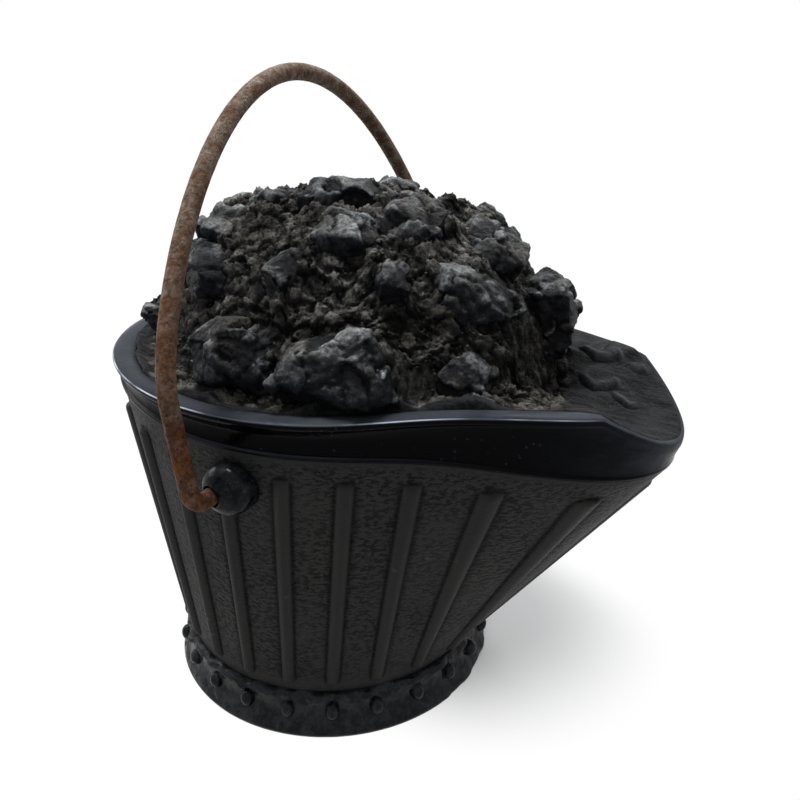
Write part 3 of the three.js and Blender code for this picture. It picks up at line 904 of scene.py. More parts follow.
@dataclass(frozen=True)
class CastWallFinish:
    """Satin black paint over a pebbled casting, greyed by dust, with painted shade in the pebbles' hollows
    and in the creases beside the ribs.
    """

    paint: Colour = (37, 37, 37)
    rib: Colour = (31, 31, 31)
    # The colour of the painted shade in the pebbles' hollows.
    hollow: Colour = (2, 2, 2)
    brown: Colour = (42, 40, 37)
    # The colour of the painted shade in the creases beside the ribs.
    dirt: Colour = (4, 4, 4)
    speck: Colour = (90, 88, 84)
    pebble: float = 0.0011
    pebble_depth: float = 0.0007
    fine_grain: float = 0.0004
    fine_depth: float = 0.00004

    def build(self, effects: Effects) -> Material:
        """Builds the material.

        Args:
            effects: The shader groups that it uses.

        Returns:
            The material.
        """
        finish = Finish("cast_wall", effects)
        graph = finish.graph
        taller = finish.mapped((1.0, 1.0, 1.7))
        pebbled = finish.group(effects.grain, Place=taller, Size=self.pebble, Level=0.48, Sharpness=0.035)
        strength = finish.patches(0.014, (0.3, 0.6), (0.55, 1.0), detail=2.0)
        strength = graph.product(strength, graph.line(finish.attribute(PANEL), 0.9, 0.1))
        hollows = graph.product(pebbled["Hollows"], strength)
        fine = finish.group(effects.grain, Size=self.fine_grain, Sharpness=0.15)["Height"]
        cloud = finish.patches(0.02, (0.35, 0.7), detail=4.0)
        specks = finish.group(effects.specks, Size=0.0022, Share=0.1)["Mask"]
        base = graph.blend(finish.attribute(WORN_AND_LIT), self.paint, self.rib)
        base = graph.blend(graph.product(cloud, 0.4), base, self.brown)
        # Painted shade: the pebbles' hollows go near-black.
        base = graph.blend(graph.product(hollows, 0.92), base, self.hollow)
        # Painted shade: the creases beside the ribs go near-black.
        base = graph.blend(graph.product(finish.attribute(CREASE), 0.9), base, self.dirt)
        base = graph.blend(graph.product(specks, 0.18), base, self.speck)
        height = graph.product(pebbled["Height"], strength)
        finish.bump((height, self.pebble_depth), (fine, self.fine_depth))
        roughness = graph.ramp(fine, 0.3, 0.7, 0.42, 0.6)
        return finish.close(Base_Color=base, Roughness=roughness, Specular_IOR_Level=0.08)


@dataclass(frozen=True)
class GlossFinish:
    """Glossier black paint with specks of dust, greyed by dust where it lies flat and by wear and a painted
    sheen on the rim's land, with painted highlight lines along the rim's edges.
    """

    name: str = "gloss_black"
    paint: Colour = (3, 3, 5)
    # The colour of wear with a painted sheen on the rim's land, then that of the painted highlight lines
    # along its edges.
    rubbed: Colour = (40, 44, 50)
    bare_edge: Colour = (160, 168, 182)
    dust: Colour = (66, 69, 72)
    cover: float = 0.3
    dust_from: float = 0.8
    dust_to: float = 1.02
    mottle: float = 0.0
    speck_share: float = 0.3
    speck_strength: float = 0.25
    roughness: float = 0.14
    smudge_depth: float = 0.00016
    grain_depth: float = 0.00003
    specular: float = 0.03

    def build(self, effects: Effects) -> Material:
        """Builds the material.

        Args:
            effects: The shader groups that it uses.

        Returns:
            The material.
        """
        finish = Finish(self.name, effects)
        graph = finish.graph
        levels = {"Level_From": self.dust_from, "Level_To": self.dust_to}
        dust = finish.group(effects.dust, Patch_Size=0.005, Cover=self.cover, **levels)["Mask"]
        specks = finish.group(effects.specks, Size=0.0009, Share=self.speck_share)["Mask"]
        dotted = graph.product(specks, finish.patches(0.009, (0.45, 0.62)))
        drawn_out = finish.mapped((0.35, 0.35, 1.0))
        drawn = {"detail": 5.0, "roughness": 0.65, "place": drawn_out}
        streaked = finish.patches(0.0035, (0.3, 0.6), (0.35, 1.0), **drawn)
        worn = finish.attribute(WORN_AND_LIT)
        # Wear and a painted sheen below 0.6, and the painted highlight lines above it.
        rubbed = graph.product(graph.ramp(worn, 0.0, 0.6), streaked)
        broken = finish.patches(0.012, (0.4, 0.62), (0.12, 1.0))
        edge = graph.product(graph.ramp(worn, 0.6, 1.0), broken)
        blotch = finish.patches(0.0022, (0.42, 0.66), (0.0, self.mottle), detail=6.0, roughness=0.75)
        base = graph.blend(rubbed, self.paint, self.rubbed)
        base = graph.blend(edge, base, self.bare_edge)
        base = graph.blend(dust, base, self.dust)
        base = graph.blend(graph.product(dotted, self.speck_strength), base, self.dust)
        base = graph.blend(blotch, base, self.dust)
        grain = finish.group(effects.grain, Size=0.0006, Sharpness=0.2)["Height"]
        smudge = graph.noise(finish.place, 0.005, 4.0)
        rough = graph.ramp(smudge, 0.3, 0.75, self.roughness - 0.04, self.roughness + 0.14)
        matt = graph.math("ADD", graph.math("ADD", dust, blotch), graph.product(rubbed, 0.4))
        finish.bump((smudge, self.smudge_depth), (grain, self.grain_depth))
        roughness = graph.line(matt, 0.5, rough)
        return finish.close(Base_Color=base, Roughness=roughness, Specular_IOR_Level=self.specular)


@dataclass(frozen=True)
class RustyWireFinish:
    """Steel wire browned all over, redder and rougher towards the hooks."""

    brown: Colour = (80, 56, 38)
    grey: Colour = (104, 90, 78)
    orange: Colour = (88, 50, 18)
    red: Colour = (40, 14, 10)
    pit: Colour = (30, 20, 15)
    hook_height: float = 0.062
    clean_height: float = 0.100
    pit_depth: float = 0.00016
    scale_depth: float = 0.00008

    def build(self, effects: Effects) -> Material:
        """Builds the material.

        Args:
            effects: The shader groups that it uses.

        Returns:
            The material.
        """
        finish = Finish("rusty_wire", effects)
        graph = finish.graph
        low = graph.ramp(graph.up(finish.place), self.hook_height, self.clean_height, 1.0, 0.0)
        drawn = finish.patches(0.0022, (0.38, 0.62), detail=5.0, roughness=0.7)
        tint = finish.patches(0.004, (0.35, 0.6), (0.35, 0.95), detail=4.0)
        specks = finish.group(effects.specks, Size=0.0012, Share=0.6)["Mask"]
        scale = finish.patches(0.0018, (0.47, 0.58), detail=4.0, roughness=0.7)
        red = graph.product(graph.math("ADD", specks, scale), 0.55)
        red = graph.product(red, graph.line(low, 0.8, 0.35))
        pits = finish.group(effects.grain, Size=0.0006, Sharpness=0.12)
        base = graph.blend(drawn, self.brown, self.grey)
        base = graph.blend(graph.product(low, tint), base, self.orange)
        base = graph.blend(red, base, self.red)
        base = graph.blend(graph.product(pits["Hollows"], 0.55), base, self.pit)
        finish.bump((pits["Height"], self.pit_depth), (scale, self.scale_depth))
        roughness = graph.ramp(drawn, 0.0, 1.0, 0.8, 0.6)
        return finish.close(Base_Color=base, Roughness=roughness, Specular_IOR_Level=0.14)


@dataclass(frozen=True)
class CoalFinish:
    """Black broken faces under dust, on the lumps and, duller, on the fines between them, with painted shade
    in their crevices and shadow gaps, painted highlights along the ledges' edges and a painted glint on a
    clear drop.
    """

    name: str = "coal"
    face: Colour = (23, 25, 31)
    dust: Colour = (160, 163, 163)
    brown: Colour = (112, 109, 101)
    deck: Colour = (38, 39, 41)
    deck_streak: Colour = (9, 9, 10)
    # The colour of the painted highlights along the ledges' edges.
    deck_edge: Colour = (84, 85, 86)
    # Near-black, the colour of the painted shade in the crevices, the grit's hollows and the ledges' shadow
    # gaps.
    pit: Colour = (3, 3, 4)
    cover: float = 0.9
    grit: float = 0.0008
    grit_depth: float = 0.0003
    roughness: float = 0.42
    specular: float = 0.08
    drop_place: Triple = (14.94, -30.52, 77.21)  # a clear drop on a front lump, in millimetres
    drop_radius: float = 1.5
    drop_depth: float = 0.0012
    drop_wet: Colour = (30, 33, 38)
    # The colour of the glint painted in the drop's middle.
    drop_gleam: Colour = (196, 202, 208)

    def build(self, effects: Effects) -> Material:
        """Builds the material.

        Args:
            effects: The shader groups that it uses.

        Returns:
            The material.
        """
        finish = Finish(self.name, effects)
        graph = finish.graph
        rough = finish.attribute(ROUGH)
        grit = finish.group(effects.grain, Size=self.grit, Sharpness=0.09)
        flaky = graph.noise(finish.mapped((0.7, 0.7, 1.6)), 0.0015, 6.0, 0.72)
        speckle = graph.noise(finish.place, 0.00055, 6.0, 0.8)
        uneven = graph.line(graph.math("SUBTRACT", flaky, 0.5), 1.1, finish.attribute(RELIEF))
        cover = self.dusted(finish, uneven, speckle)
        # The hollows of the broken surface, which are painted dark as shade.
        crevice_shade = graph.ramp(uneven, 0.22, 0.52, 1.0, 0.0)
        tone = finish.patches(0.007, (0.42, 0.62))
        base = graph.blend(cover, self.face, graph.blend(tone, self.dust, self.brown))
        # Painted shade: the crevices, the grit's hollows and the shadow gaps go near-black.
        base = graph.blend(graph.product(crevice_shade, 0.75), base, self.pit)
        base = graph.blend(graph.product(grit["Hollows"], 0.6), base, self.pit)
        base = graph.blend(graph.ramp(rough, 0.0, 0.6, 1.0, 0.0), base, self.smooth_deck(finish))
        base = graph.blend(finish.attribute(CREASE), base, self.pit)

        away = graph.away_from(finish.place, self.drop_place)
        radius = self.drop_radius * MM
        wet = graph.ramp(away, radius, self.drop_radius * 0.8 * MM)
        dome = graph.ramp(away, radius, 0.0)
        base = graph.blend(graph.product(wet, 0.7), base, self.drop_wet)
        # A painted glint in the drop's middle.
        base = graph.blend(graph.ramp(away, 0.65 * MM, 0.3 * MM), base, self.drop_gleam)

        shine = graph.line(cover, 0.4, self.roughness)
        shine = graph.product(shine, graph.math("SUBTRACT", 1.0, graph.product(wet, 0.85)))
        height = graph.product(flaky, graph.line(rough, 0.75, 0.25))
        fine = ((grit["Height"], self.grit_depth), (speckle, self.grit_depth))
        finish.bump((height, self.grit_depth * 1.6), *fine, (dome, self.drop_depth))
        gleam = graph.line(wet, 0.4, self.specular)
        return finish.close(Base_Color=base, Roughness=shine, Specular_IOR_Level=gleam)

    def dusted(self, finish: Finish, uneven: Socket, speckle: Socket) -> Socket:
        """How thick the dust lies: on what faces up, on ridges more than in hollows, and speckled; this
        paints the ridges lighter as lit and leaves the hollows dark as painted shade.

        Args:
            finish: The material.
            uneven: How high a place stands in the broken surface.
            speckle: Very fine noise.

        Returns:
            The dust's share of the colour.
        """
        graph = finish.graph
        levels = {"Level_From": -0.1, "Level_To": 0.98}
        dust = finish.group(finish.effects.dust, Patch_Size=0.004, Cover=self.cover, **levels)["Mask"]
        ridge = graph.ramp(uneven, 0.25, 0.6, 0.25, 1.0)
        return graph.product(dust, graph.product(ridge, graph.ramp(speckle, 0.4, 0.6, 0.4, 1.0)))

    def smooth_deck(self, finish: Finish) -> Socket:
        """The colour of the smooth fines at the lip, streaked along it, with painted highlights along the
        ledges' edges.

        Args:
            finish: The finish to add to.

        Returns:
            The mask.
        """
        graph = finish.graph
        drawn_out = finish.mapped((0.3, 1.9, 1.0))
        streaks = finish.patches(0.0018, (0.42, 0.6), (0.0, 0.9), detail=6.0, roughness=0.75, place=drawn_out)
        plain = graph.blend(streaks, self.deck, self.deck_streak)
        # Painted highlights along the ledges' edges.
        return graph.blend(finish.attribute(WORN_AND_LIT), plain, self.deck_edge)


# ---- The form that the wall, the rim and the coal share ----------------------------------------------


@dataclass(frozen=True)
class ScuttleForm:
    """The mouth's outline, the wall under it and the rim on it, in millimetres."""

    foot_x: float  # where the foot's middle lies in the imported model
    gap: float = 0.3
    foot_height: float = 9.0
    body_foot_radius: float = 32.3
    wall: float = 2.2
    mouth_half_width: float = 39.9
    mouth_shift: float = 4.8
    lip_reach: float = 23.6
    lip_sharpness: float = 16.0
    back_reach: float = 5.0
    back_sharpness: float = 3.0
    seam_height: float = 63.7
    seam_back_rise: float = 4.6
    seam_lip_drop: float = 5.2
    rim_height: float = 6.3
    rim_back_drop: float = 2.6
    rim_corner_rise: float = 5.6
    rim_roll: float = 4.8
    rim_proud: float = 1.27
    lip_dip: float = 6.8
    lip_dip_half_turn: float = 17.0
    slack_below_rim: float = 1.7
    cover_near: Pair = (-23.0, -15.0)  # degrees over which the fines come to lie on the rim
    cover_far: Pair = (48.0, 34.0)

    @staticmethod
    def lobe(turn: Array, sharpness: float) -> Array:
        """1 at turn 0, falling away on both sides."""
        return ((1 + np.cos(turn)) / 2) ** sharpness

    @staticmethod
    def away(turn: Array) -> Array:
        """The turn from the lip, between minus and plus half a circle."""
        return np.arctan2(np.sin(turn), np.cos(turn))

    def mouth(self, turn: Array, offset: Any = 0.0) -> Array:
        """The mouth's outline in plan, moved outwards by an offset.

        Args:
            turn: Angles about the mouth's middle, 0 at the lip.
            offset: How far outside the outline.

        Returns:
            One row of x and y for each turn.
        """

        def outline(at: Array) -> Array:
            """The outline itself."""
            radius = (
                self.mouth_half_width
                + self.lip_reach * self.lobe(at, self.lip_sharpness)
                + self.back_reach * self.lobe(at + math.pi, self.back_sharpness)
            )
            return np.stack([self.mouth_shift + radius * np.cos(at), radius * np.sin(at)], -1)

        step = 1e-3
        along = outline(turn + step) - outline(turn - step)
        normal = np.stack([along[..., 1], -along[..., 0]], -1)
        normal /= np.linalg.norm(normal, axis=-1, keepdims=True)
        return outline(turn) + normal * np.asarray(offset)[..., None]

    def standing(self, plan: Array, height: Array) -> Array:
        """Points over a plan about the foot's middle, as rows of x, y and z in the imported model's frame."""
        return np.stack([plan[..., 0] + self.foot_x, plan[..., 1], height], -1)

    def seam(self, turn: Array) -> Array:
        """Height of the wall's top, where the rim sits."""
        back = self.seam_back_rise * self.lobe(turn + math.pi, self.back_sharpness)
        return self.seam_height + back - self.seam_lip_drop * self.lobe(turn, self.lip_sharpness)

    def rim_rise(self, turn: Array) -> Array:
        """Height of the rim's top above the seam.

        Args:
            turn: Angles, 0 at the lip.

        Returns:
            The height at each of them.
        """
        share = np.minimum(np.abs(self.away(turn)) / math.radians(self.lip_dip_half_turn), 1)
        back = self.rim_back_drop * self.lobe(turn + math.pi, self.back_sharpness)
        corners = self.rim_corner_rise * self.lobe(turn, self.lip_sharpness / 2)
        return self.rim_height - back + corners - self.lip_dip * np.cos(share * (math.pi / 2))

    def lip_cover(self, turn: Array) -> Array:
        """1 where the fines run out over the rim's land: round the lip, and further along its far side."""
        near = smooth_step(*np.radians(self.cover_near), self.away(turn))
        return near * smooth_step(*np.radians(self.cover_far), self.away(turn))

    @property
    def body_foot(self) -> float:
        """Height of the wall's lower end."""
        return self.foot_height + self.gap

    def wall_at(self, turn: Array, share: Any, offset: Any) -> Array:
        """Points of the wall.

        Args:
            turn: Angles, 0 at the lip.
            share: 0 at the wall's foot, 1 at its top.
            offset: How far outside the wall's face, in plan.

        Returns:
            One row of x, y, z for each turn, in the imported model's frame.
        """
        share = np.broadcast_to(np.asarray(share, float), turn.shape)
        offset = np.broadcast_to(np.asarray(offset, float), turn.shape)
        foot = np.stack([np.cos(turn), np.sin(turn)], -1) * (self.body_foot_radius + offset)[..., None]
        plan = foot + (self.mouth(turn, offset) - foot) * share[..., None]
        return self.standing(plan, self.body_foot + (self.seam(turn) - self.body_foot) * share)


# ---- The pieces --------------------------------------------------------------------------------------


@dataclass
class Wall:
    """The ribbed, tapering wall with its floor."""

    form: ScuttleForm
    finish: Material
    rib_count: int = 24
    rib_width: float = 2.45
    rib_height: float = 0.95
    rib_foot_margin: float = 2.2
    rib_rim_margin: float = 4.2
    floor: float = 2.4
    lug_clearance: float = 4.6
    pivot_height: float = 57.1
    crease: float = 0.22
    crease_width: float = 0.36
    crease_start: float = 0.08
    rib_columns: int = 12
    rows: int = 150
    inner_shares: Triple = (1.0, 0.66, 0.33)

    def columns(self) -> tuple[Array, Array, Array]:
        """Where the wall's columns of points stand: close together at the ribs' edges.

        Returns:
            For each column its turn, its place across the rib (1 at the rib's edges, more beyond them) and
            the rib's own turn.
        """
        pitch = 2 * math.pi / self.rib_count
        half_turn = self.rib_width / 2 / self.form.body_foot_radius
        on_rib = np.sin(np.linspace(-1, 1, self.rib_columns) * math.pi / 2)
        between = np.array([0.025, 0.06, 0.11, 0.2, 0.35, 0.5, 0.65, 0.8, 0.89, 0.94, 0.975])
        between = half_turn + between * (pitch - 2 * half_turn)
        turn, across, middle = [], [], []
        for rib in range(self.rib_count):
            turn += list(rib * pitch + on_rib * half_turn) + list(rib * pitch + between)
            across += list(np.abs(on_rib)) + list(np.minimum(between, pitch - between) / half_turn)
            nearest = np.where(between < pitch / 2, rib, (rib + 1) % self.rib_count)
            middle += [rib * pitch] * self.rib_columns + list(nearest * pitch)
        return np.array(turn), np.array(across), np.array(middle)

    def relief(self, turn: Array, across: Array, middle: Array, share: float) -> tuple[Array, Array]:
        """The ribs and the creases beside them.

        Args:
            turn: Each column's turn.
            across: Its place across the nearest rib.
            middle: That rib's turn.
            share: The height, as a share of the wall's.

        Returns:
            How far each column stands out, and how deep in a rib's corner it is.
        """
        half = self.rib_width / 2
        height = self.form.wall_at(turn, share, 0.0)[:, 2]
        start = self.form.body_foot + self.rib_foot_margin
        under_lug = np.abs(np.cos(middle)) < math.sin(math.pi / self.rib_count)
        below_lug = self.pivot_height - self.lug_clearance
        top = np.where(under_lug, below_lug, self.form.seam(middle) - self.rib_rim_margin)
        inset = np.minimum(height - start, top - height)
        along = np.sqrt(1 - (1 - np.clip(inset / half, 0, 1)) ** 2)
        rounded = np.cos(np.minimum(across, 1) * math.pi / 2) ** 0.8
        relief = self.rib_height * rounded * along
        beside = np.maximum(across - 1, 0) * half
        beyond = np.maximum(half - inset, 0)
        outside = np.where(beyond > 0, np.hypot(np.minimum(across, 1) * half, beyond) - half + beside, beside)
        corner = bell(np.maximum(outside - self.crease_start, 0), 0, self.crease_width)
        corner *= 1 - smooth_step(0.0, 0.3, relief)
        return relief - self.crease * corner, corner

    def build(self) -> Piece:
        """Makes the wall and puts it in place.

        Returns:
            The finished piece.
        """
        turn, across, middle = self.columns()
        form = self.form
        rings, painted = [], {PANEL: [], WORN_AND_LIT: [], CREASE: []}
        for share in np.linspace(0, 1, self.rows):
            relief, corner = self.relief(turn, across, middle, share)
            rings.append(form.wall_at(turn, share, relief))
            inside_ends = smooth_step(0.03, 0.09, share) * smooth_step(0.0, 0.04, 1 - share)
            painted[PANEL].append(inside_ends * (1 - smooth_step(0.0, 0.25, relief)))
            painted[WORN_AND_LIT].append(smooth_step(0.5, 0.9, relief))
            # The creases beside the ribs, which the wall's finish paints dark as shade.
            painted[CREASE].append(corner)
        rings += [form.wall_at(turn, share, -form.wall) for share in self.inner_shares]
        floor = form.wall_at(turn, 0.0, -form.wall)
        floor[:, 2] = form.body_foot + self.floor
        rings.append(floor)
        piece = loft("scuttle_wall", rings)
        for attribute, values in painted.items():
            paint(piece, attribute, np.concatenate([*values, [0.0]]))
        dress(piece, self.finish)
        place(piece, Body.SCUTTLE, Slot.WALL, "body")
        return piece


@dataclass
class Rim:
    """The moulded rim: a thin bead, a hollow face and a rolled top that dips at the lip."""

    form: ScuttleForm
    finish: Material
    bead: float = 0.42
    bead_height: float = 0.95
    bead_steps: int = 9
    land_drop: float = 0.19
    columns: int = 600
    crowding: float = 0.6

    def section(self, height: float, fullness: float) -> Array:
        """The rim's section: bead, hollow face, hard outer edge and the land that slopes in to the coal.

        Args:
            height: Its height above the seam.
            fullness: 0 where the face is hollow, 1 at the lip, where it swells.

        Returns:
            Rows of offset outwards and height above the seam.
        """
        form = self.form
        proud, foot = form.rim_proud, -form.gap * 0.9
        quarter = np.linspace(-math.pi / 2, math.pi / 2, self.bead_steps)
        reach = self.bead * (1 - 0.5 * fullness) * np.cos(quarter)
        bead = np.stack([reach, self.bead_height / 2 * (1 + np.sin(quarter)) + foot], -1)
        bead[self.bead_steps // 2 :, 0] = np.maximum(bead[self.bead_steps // 2 :, 0], 0.3 * fullness)
        face = height - self.bead_height
        knots = [
            (lerp(0.0, 0.32, fullness), self.bead_height + foot),
            (lerp(-0.2, 0.5, fullness), self.bead_height + face * 0.12),
            (lerp(-0.1, 0.95, fullness), self.bead_height + face * 0.42),
            (lerp(proud * 0.4, 1.2, fullness), height - min(2.1, face * 0.42)),
            (lerp(proud * 0.86, 1.28, fullness), height - min(1.35, face * 0.27)),
            (proud, height - min(0.92, face * 0.18)),
            (proud * 0.95, height - min(0.62, face * 0.12)),
            (proud * 0.72, height - 0.3),
            (proud * 0.2, height - 0.07),
            (-0.6, height),
            (-1.82, height - self.land_drop),
            (-3.02, height - self.land_drop * 4),
            (proud - form.rim_roll, height - form.slack_below_rim - form.gap),
        ]
        return np.vstack([bead[:-1], spline(np.array(knots), 4), [[-form.wall, 0.0]]])

    def rubbed(self, turn: Array, rise: Array, above: Array, offset: Array) -> Array:
        """How light the paint is made: wear and a painted sheen on the land, painted highlight lines along
        the bead and the hard edge, and dusty paint with wear at the lip's tip.

        Args:
            turn: Angles round the rim.
            rise: Height of its top above the seam.
            above: Height of each place above the seam.
            offset: How far outside the outline it lies.

        Returns:
            0 for whole paint to 1 for the brightest painted highlight.
        """
        form = self.form
        # The land gets wear and a painted sheen, the bead and the hard edge painted highlight lines, and the
        # lip's tip dusty paint with wear.
        land = 0.5 * smooth_step(0.55, 0.12, rise - above) * (offset < form.rim_proud - 0.05)
        bead = 0.5 * bell(above, 0.5, 0.3) * (offset > 0.2) * (1 - form.lobe(turn, 5))
        edge = bell(rise - above, 0.42, 0.15) * (offset > form.rim_proud * 0.5)
        edge *= 1 - 0.3 * form.lobe(turn, 22)
        tip = 0.55 * form.lobe(turn, 45) * smooth_step(0.3, 1.2, above) * (offset > 0)
        return np.maximum(np.maximum(land, bead), np.maximum(edge, tip))

    def build(self) -> Piece:
        """Makes the rim and puts it in place.

        Returns:
            The finished piece.
        """
        form = self.form
        turn = turns_of(self.columns, self.crowding)
        rise, full = form.rim_rise(turn), form.lobe(turn, 22)
        sections = np.array([self.section(float(height), float(share)) for height, share in zip(rise, full)])
        rings, rubbed = [], []
        for offset, above in sections.transpose(1, 2, 0):
            rings.append(form.standing(form.mouth(turn, offset), form.seam(turn) + form.gap + above))
            rubbed.append(self.rubbed(turn, rise, above, offset))
        piece = loft("scuttle_rim", rings, loops=True)
        paint(piece, WORN_AND_LIT, np.concatenate(rubbed))
        dress(piece, self.finish)
        place(piece, Body.SCUTTLE, Slot.GLOSS, "rim")
        return piece


@dataclass
class Foot:
    """The flared foot ring with its row of beads, ragged where the wall sits in it."""

    form: ScuttleForm
    finish: Material
    radius: float = 35.0
    waist: float = 33.2
    flange: float = 33.9
    bore: float = 29.0
    edge: float = 0.8
    bead_count: int = 24
    bead_radius: float = 1.35
    bead_stretch: float = 1.35
    bead_level: float = 5.6
    bead_proud: float = 0.5
    columns: int = 480
    chips: tuple[Triple, ...] = (  # degrees round the ring, half-width in degrees, depth
        (30, 17, 0.9),
        (4, 8, 0.75),
        (-12, 5, 0.5),
        (168, 7, 0.6),
        (100, 9, 0.5),
    )
    breakage: Breakage = Breakage(
        broad_size=4.0,
        broad_depth=0.35,
        face_size=3.0,
        face_tilt=0.12,
        face_step=0.08,
        crack_depth=0.0,
        chip_size=1.2,
        chip_tilt=0.1,
        grit_size=1.2,
        grit_depth=0.1,
        full_depth=0.4,
    )

    def outline(self) -> Array:
        """The ring's section: rows of radius and height, from the bore's foot round to its top.

        Returns:
            Rows of radius and height.
        """
        tall, edge, seat = self.form.foot_height, self.edge, self.form.body_foot_radius
        flare = [
            (self.radius, edge),
            (self.radius - 0.35, edge * 2.6),
            (self.waist + 0.65, tall * 0.4),
            (self.waist + 0.2, tall * 0.6),
            (self.waist + 0.32, tall * 0.8),
            (self.flange - 0.25, tall * 0.92),
            (self.flange - 0.8, tall + 0.12),
        ]
        low = [(self.bore, 0.0), (self.radius - edge, 0.0), (self.radius - edge * 0.3, edge * 0.25)]
        return np.vstack([low, spline(np.array(flare), 4), [(seat - 0.6, tall + 0.2), (self.bore, tall)]])

    def chipped_away(self, turn: Array) -> Array:
        """How deep the ring's outer edge is chipped at each turn.

        Args:
            turn: Angles round the ring, 0 at the lip.

        Returns:
            The depth at each of them.
        """
        depths = np.zeros_like(turn)
        for degrees, spread, depth in self.chips:
            away = np.abs(np.angle(np.exp(1j * (turn - math.radians(degrees)))))
            depths = np.maximum(depths, depth * smooth_step(1.0, 0.55, away / math.radians(spread)))
        return depths

    def build_ring(self, weathering: Tree) -> Piece:
        """Makes the ring.

        Args:
            weathering: The tree that roughens it a little.

        Returns:
            The ring.
        """
        turn = turns_of(self.columns)
        ragged = np.sin(3 * turn + 1) + np.sin(11 * turn) + np.sin(23 * turn + 2) + np.sin(41 * turn + 4)
        flakes = np.clip(np.abs(ragged) - 1.6, 0, 1) * np.sign(ragged)
        chipped = self.chipped_away(turn)
        rings = []
        for radius, height in self.outline():
            upper = smooth_step(6.5, 9.0, height) * (radius > self.bore + 0.1)
            outer = smooth_step(31.0, 33.0, radius)
            out = radius + upper * (0.14 * ragged + 0.35 * flakes) - outer * chipped * (0.45 + 0.55 * upper)
            up = height - upper * (0.1 * ragged + 0.4 * np.maximum(flakes, 0))
            rings.append(self.form.standing(np.stack([out * np.cos(turn), out * np.sin(turn)], -1), up))
        ring = loft("foot_ring_cast", rings, loops=True)
        paint(ring, ROUGH, smooth_step(0.6, 2.0, heights_of(ring)))
        run_tree(ring, weathering, self.breakage.values(4.0, self.finish))
        place(ring, Body.SCUTTLE, Slot.GLOSS, "foot_ring")
        return ring

    def build_beads(self, beads: Tree) -> Piece:
        """Makes the row of beads.

        Args:
            beads: The tree that sets them.

        Returns:
            The beads.
        """
        row = mesh_piece("foot_beads", np.zeros((1, 3)))
        values = {
            "Count": self.bead_count,
            "Ring Radius": (self.waist + self.bead_proud) * MM,
            "Bead Radius": self.bead_radius * MM,
            "Stretch": self.bead_stretch,
            "Unevenness": 0.1,
            "Material": self.finish,
        }
        run_tree(row, beads, values)
        row.data.transform(Matrix.Translation((self.form.foot_x * MM, 0, self.bead_level * MM)))
        place(row, Body.SCUTTLE, Slot.GLOSS)
        return row


@dataclass
class Lug:
    """A domed knob with the hole that the wire's end turns in, smoothed from its solid."""

    node: str
    finish: Material
    voxel: float = 0.16
    rounds: int = 8

    def build(self, solid: Piece) -> Piece:
        """Makes the knob.

        Args:
            solid: The knob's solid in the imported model.

        Returns:
            The finished knob.
        """
        piece = even_copy(solid, self.node + "_cast", self.voxel, self.rounds)
        shade_smooth(piece)
        dress(piece, self.finish)
        place(piece, Body.SCUTTLE, Slot.GLOSS, self.node)
        return piece


@dataclass
class Bail:
    """The round wire, bent inwards at both ends into the lugs, leaning a little backwards."""

    finish: Material
    pivot: Triple
    end: float  # from the middle to the wire's end in a lug
    leg: float  # from the middle to a leg's middle line
    wire: float = 2.95
    bend: float = 3.2
    straight: float = 17.0
    rise: float = 63.5
    crown_shift: float = 1.0
    ease: float = 10.0
    crown: float = 28.0
    lean: float = 8.0
    step: float = 0.8
    curve_points: int = 400

    def half(self, side: float) -> Array:
        """One leg from its end in the lug up to the crown.

        Args:
            side: 1 or -1.

        Returns:
            Rows of y and z, from the pivot.
        """
        leg, crown = side * self.leg, -self.crown_shift
        corner, top = leg - side * self.bend, self.straight + self.ease
        share = np.linspace(0, 1, self.curve_points)[:, None]
        parts = (
            ((side * self.end, 0.0), (corner, 0.0)),
            ((corner, 0.0), (leg, 0.0), (leg, self.bend)),
            ((leg, self.bend), (leg, self.straight)),
            ((leg, self.straight), (leg, top), (side * self.crown + crown, self.rise), (crown, self.rise)),
        )
        return np.concatenate([bezier(share, *points) for points in parts])

    def line(self) -> Array:
        """The wire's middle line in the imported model's frame, at even steps.

        Returns:
            Rows of x, y and z.
        """
        flat = np.concatenate([self.half(-1), self.half(1)[::-1]])
        run = run_along(flat)
        even = np.linspace(0, run[-1], int(run[-1] / self.step))
        y, z = (np.interp(even, run, flat[:, axis]) for axis in (0, 1))
        lean = math.radians(-self.lean)
        return np.stack([self.pivot[0] + z * math.sin(lean), y, self.pivot[2] + z * math.cos(lean)], -1)

    def build(self, tree: Tree) -> Piece:
        """Makes the wire and puts it in place.

        Args:
            tree: The tree that lays a wire along a line.

        Returns:
            The wire.
        """
        line = self.line()
        piece = mesh_piece("bail_wire", line, edges=[(i, i + 1) for i in range(len(line) - 1)])
        run_tree(piece, tree, {"Radius": self.wire / 2 * MM, "Material": self.finish})
        on_side = [len(polygon.vertices) == 4 for polygon in piece.data.polygons]
        piece.data.polygons.foreach_set("use_smooth", on_side)
        place(piece, Body.BAIL, Slot.WIRE, "bail")
        return piece


@dataclass
class Coal:
    """The lumps, each weathered and broken from its own solid."""

    finish: Material
    voxel: float = 0.4
    rounds: int = 4
    breakage: Breakage = Breakage(
        broad_size=7.0,
        broad_depth=0.8,
        face_size=6.0,
        face_tilt=0.34,
        face_step=0.5,
        crack_depth=0.3,
        chip_size=2.2,
        chip_tilt=0.2,
        grit_size=0.95,
        grit_depth=0.34,
        full_depth=0.75,
    )

    def build(self, name: str, solid: Piece, tree: Tree, seed: float) -> Piece:
        """Makes one lump.

        Args:
            name: The lump's node.
            solid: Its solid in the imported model.
            tree: The weathering tree.
            seed: A number that makes its breaks its own.

        Returns:
            The finished lump.
        """
        piece = even_copy(solid, name + "_broken", self.voxel, self.rounds)
        paint(piece, ROUGH, np.ones(1))
        run_tree(piece, tree, self.breakage.values(seed, self.finish))
        shade_smooth(piece)
        place(piece, Body.SCUTTLE, Slot.COAL, name)
        return piece


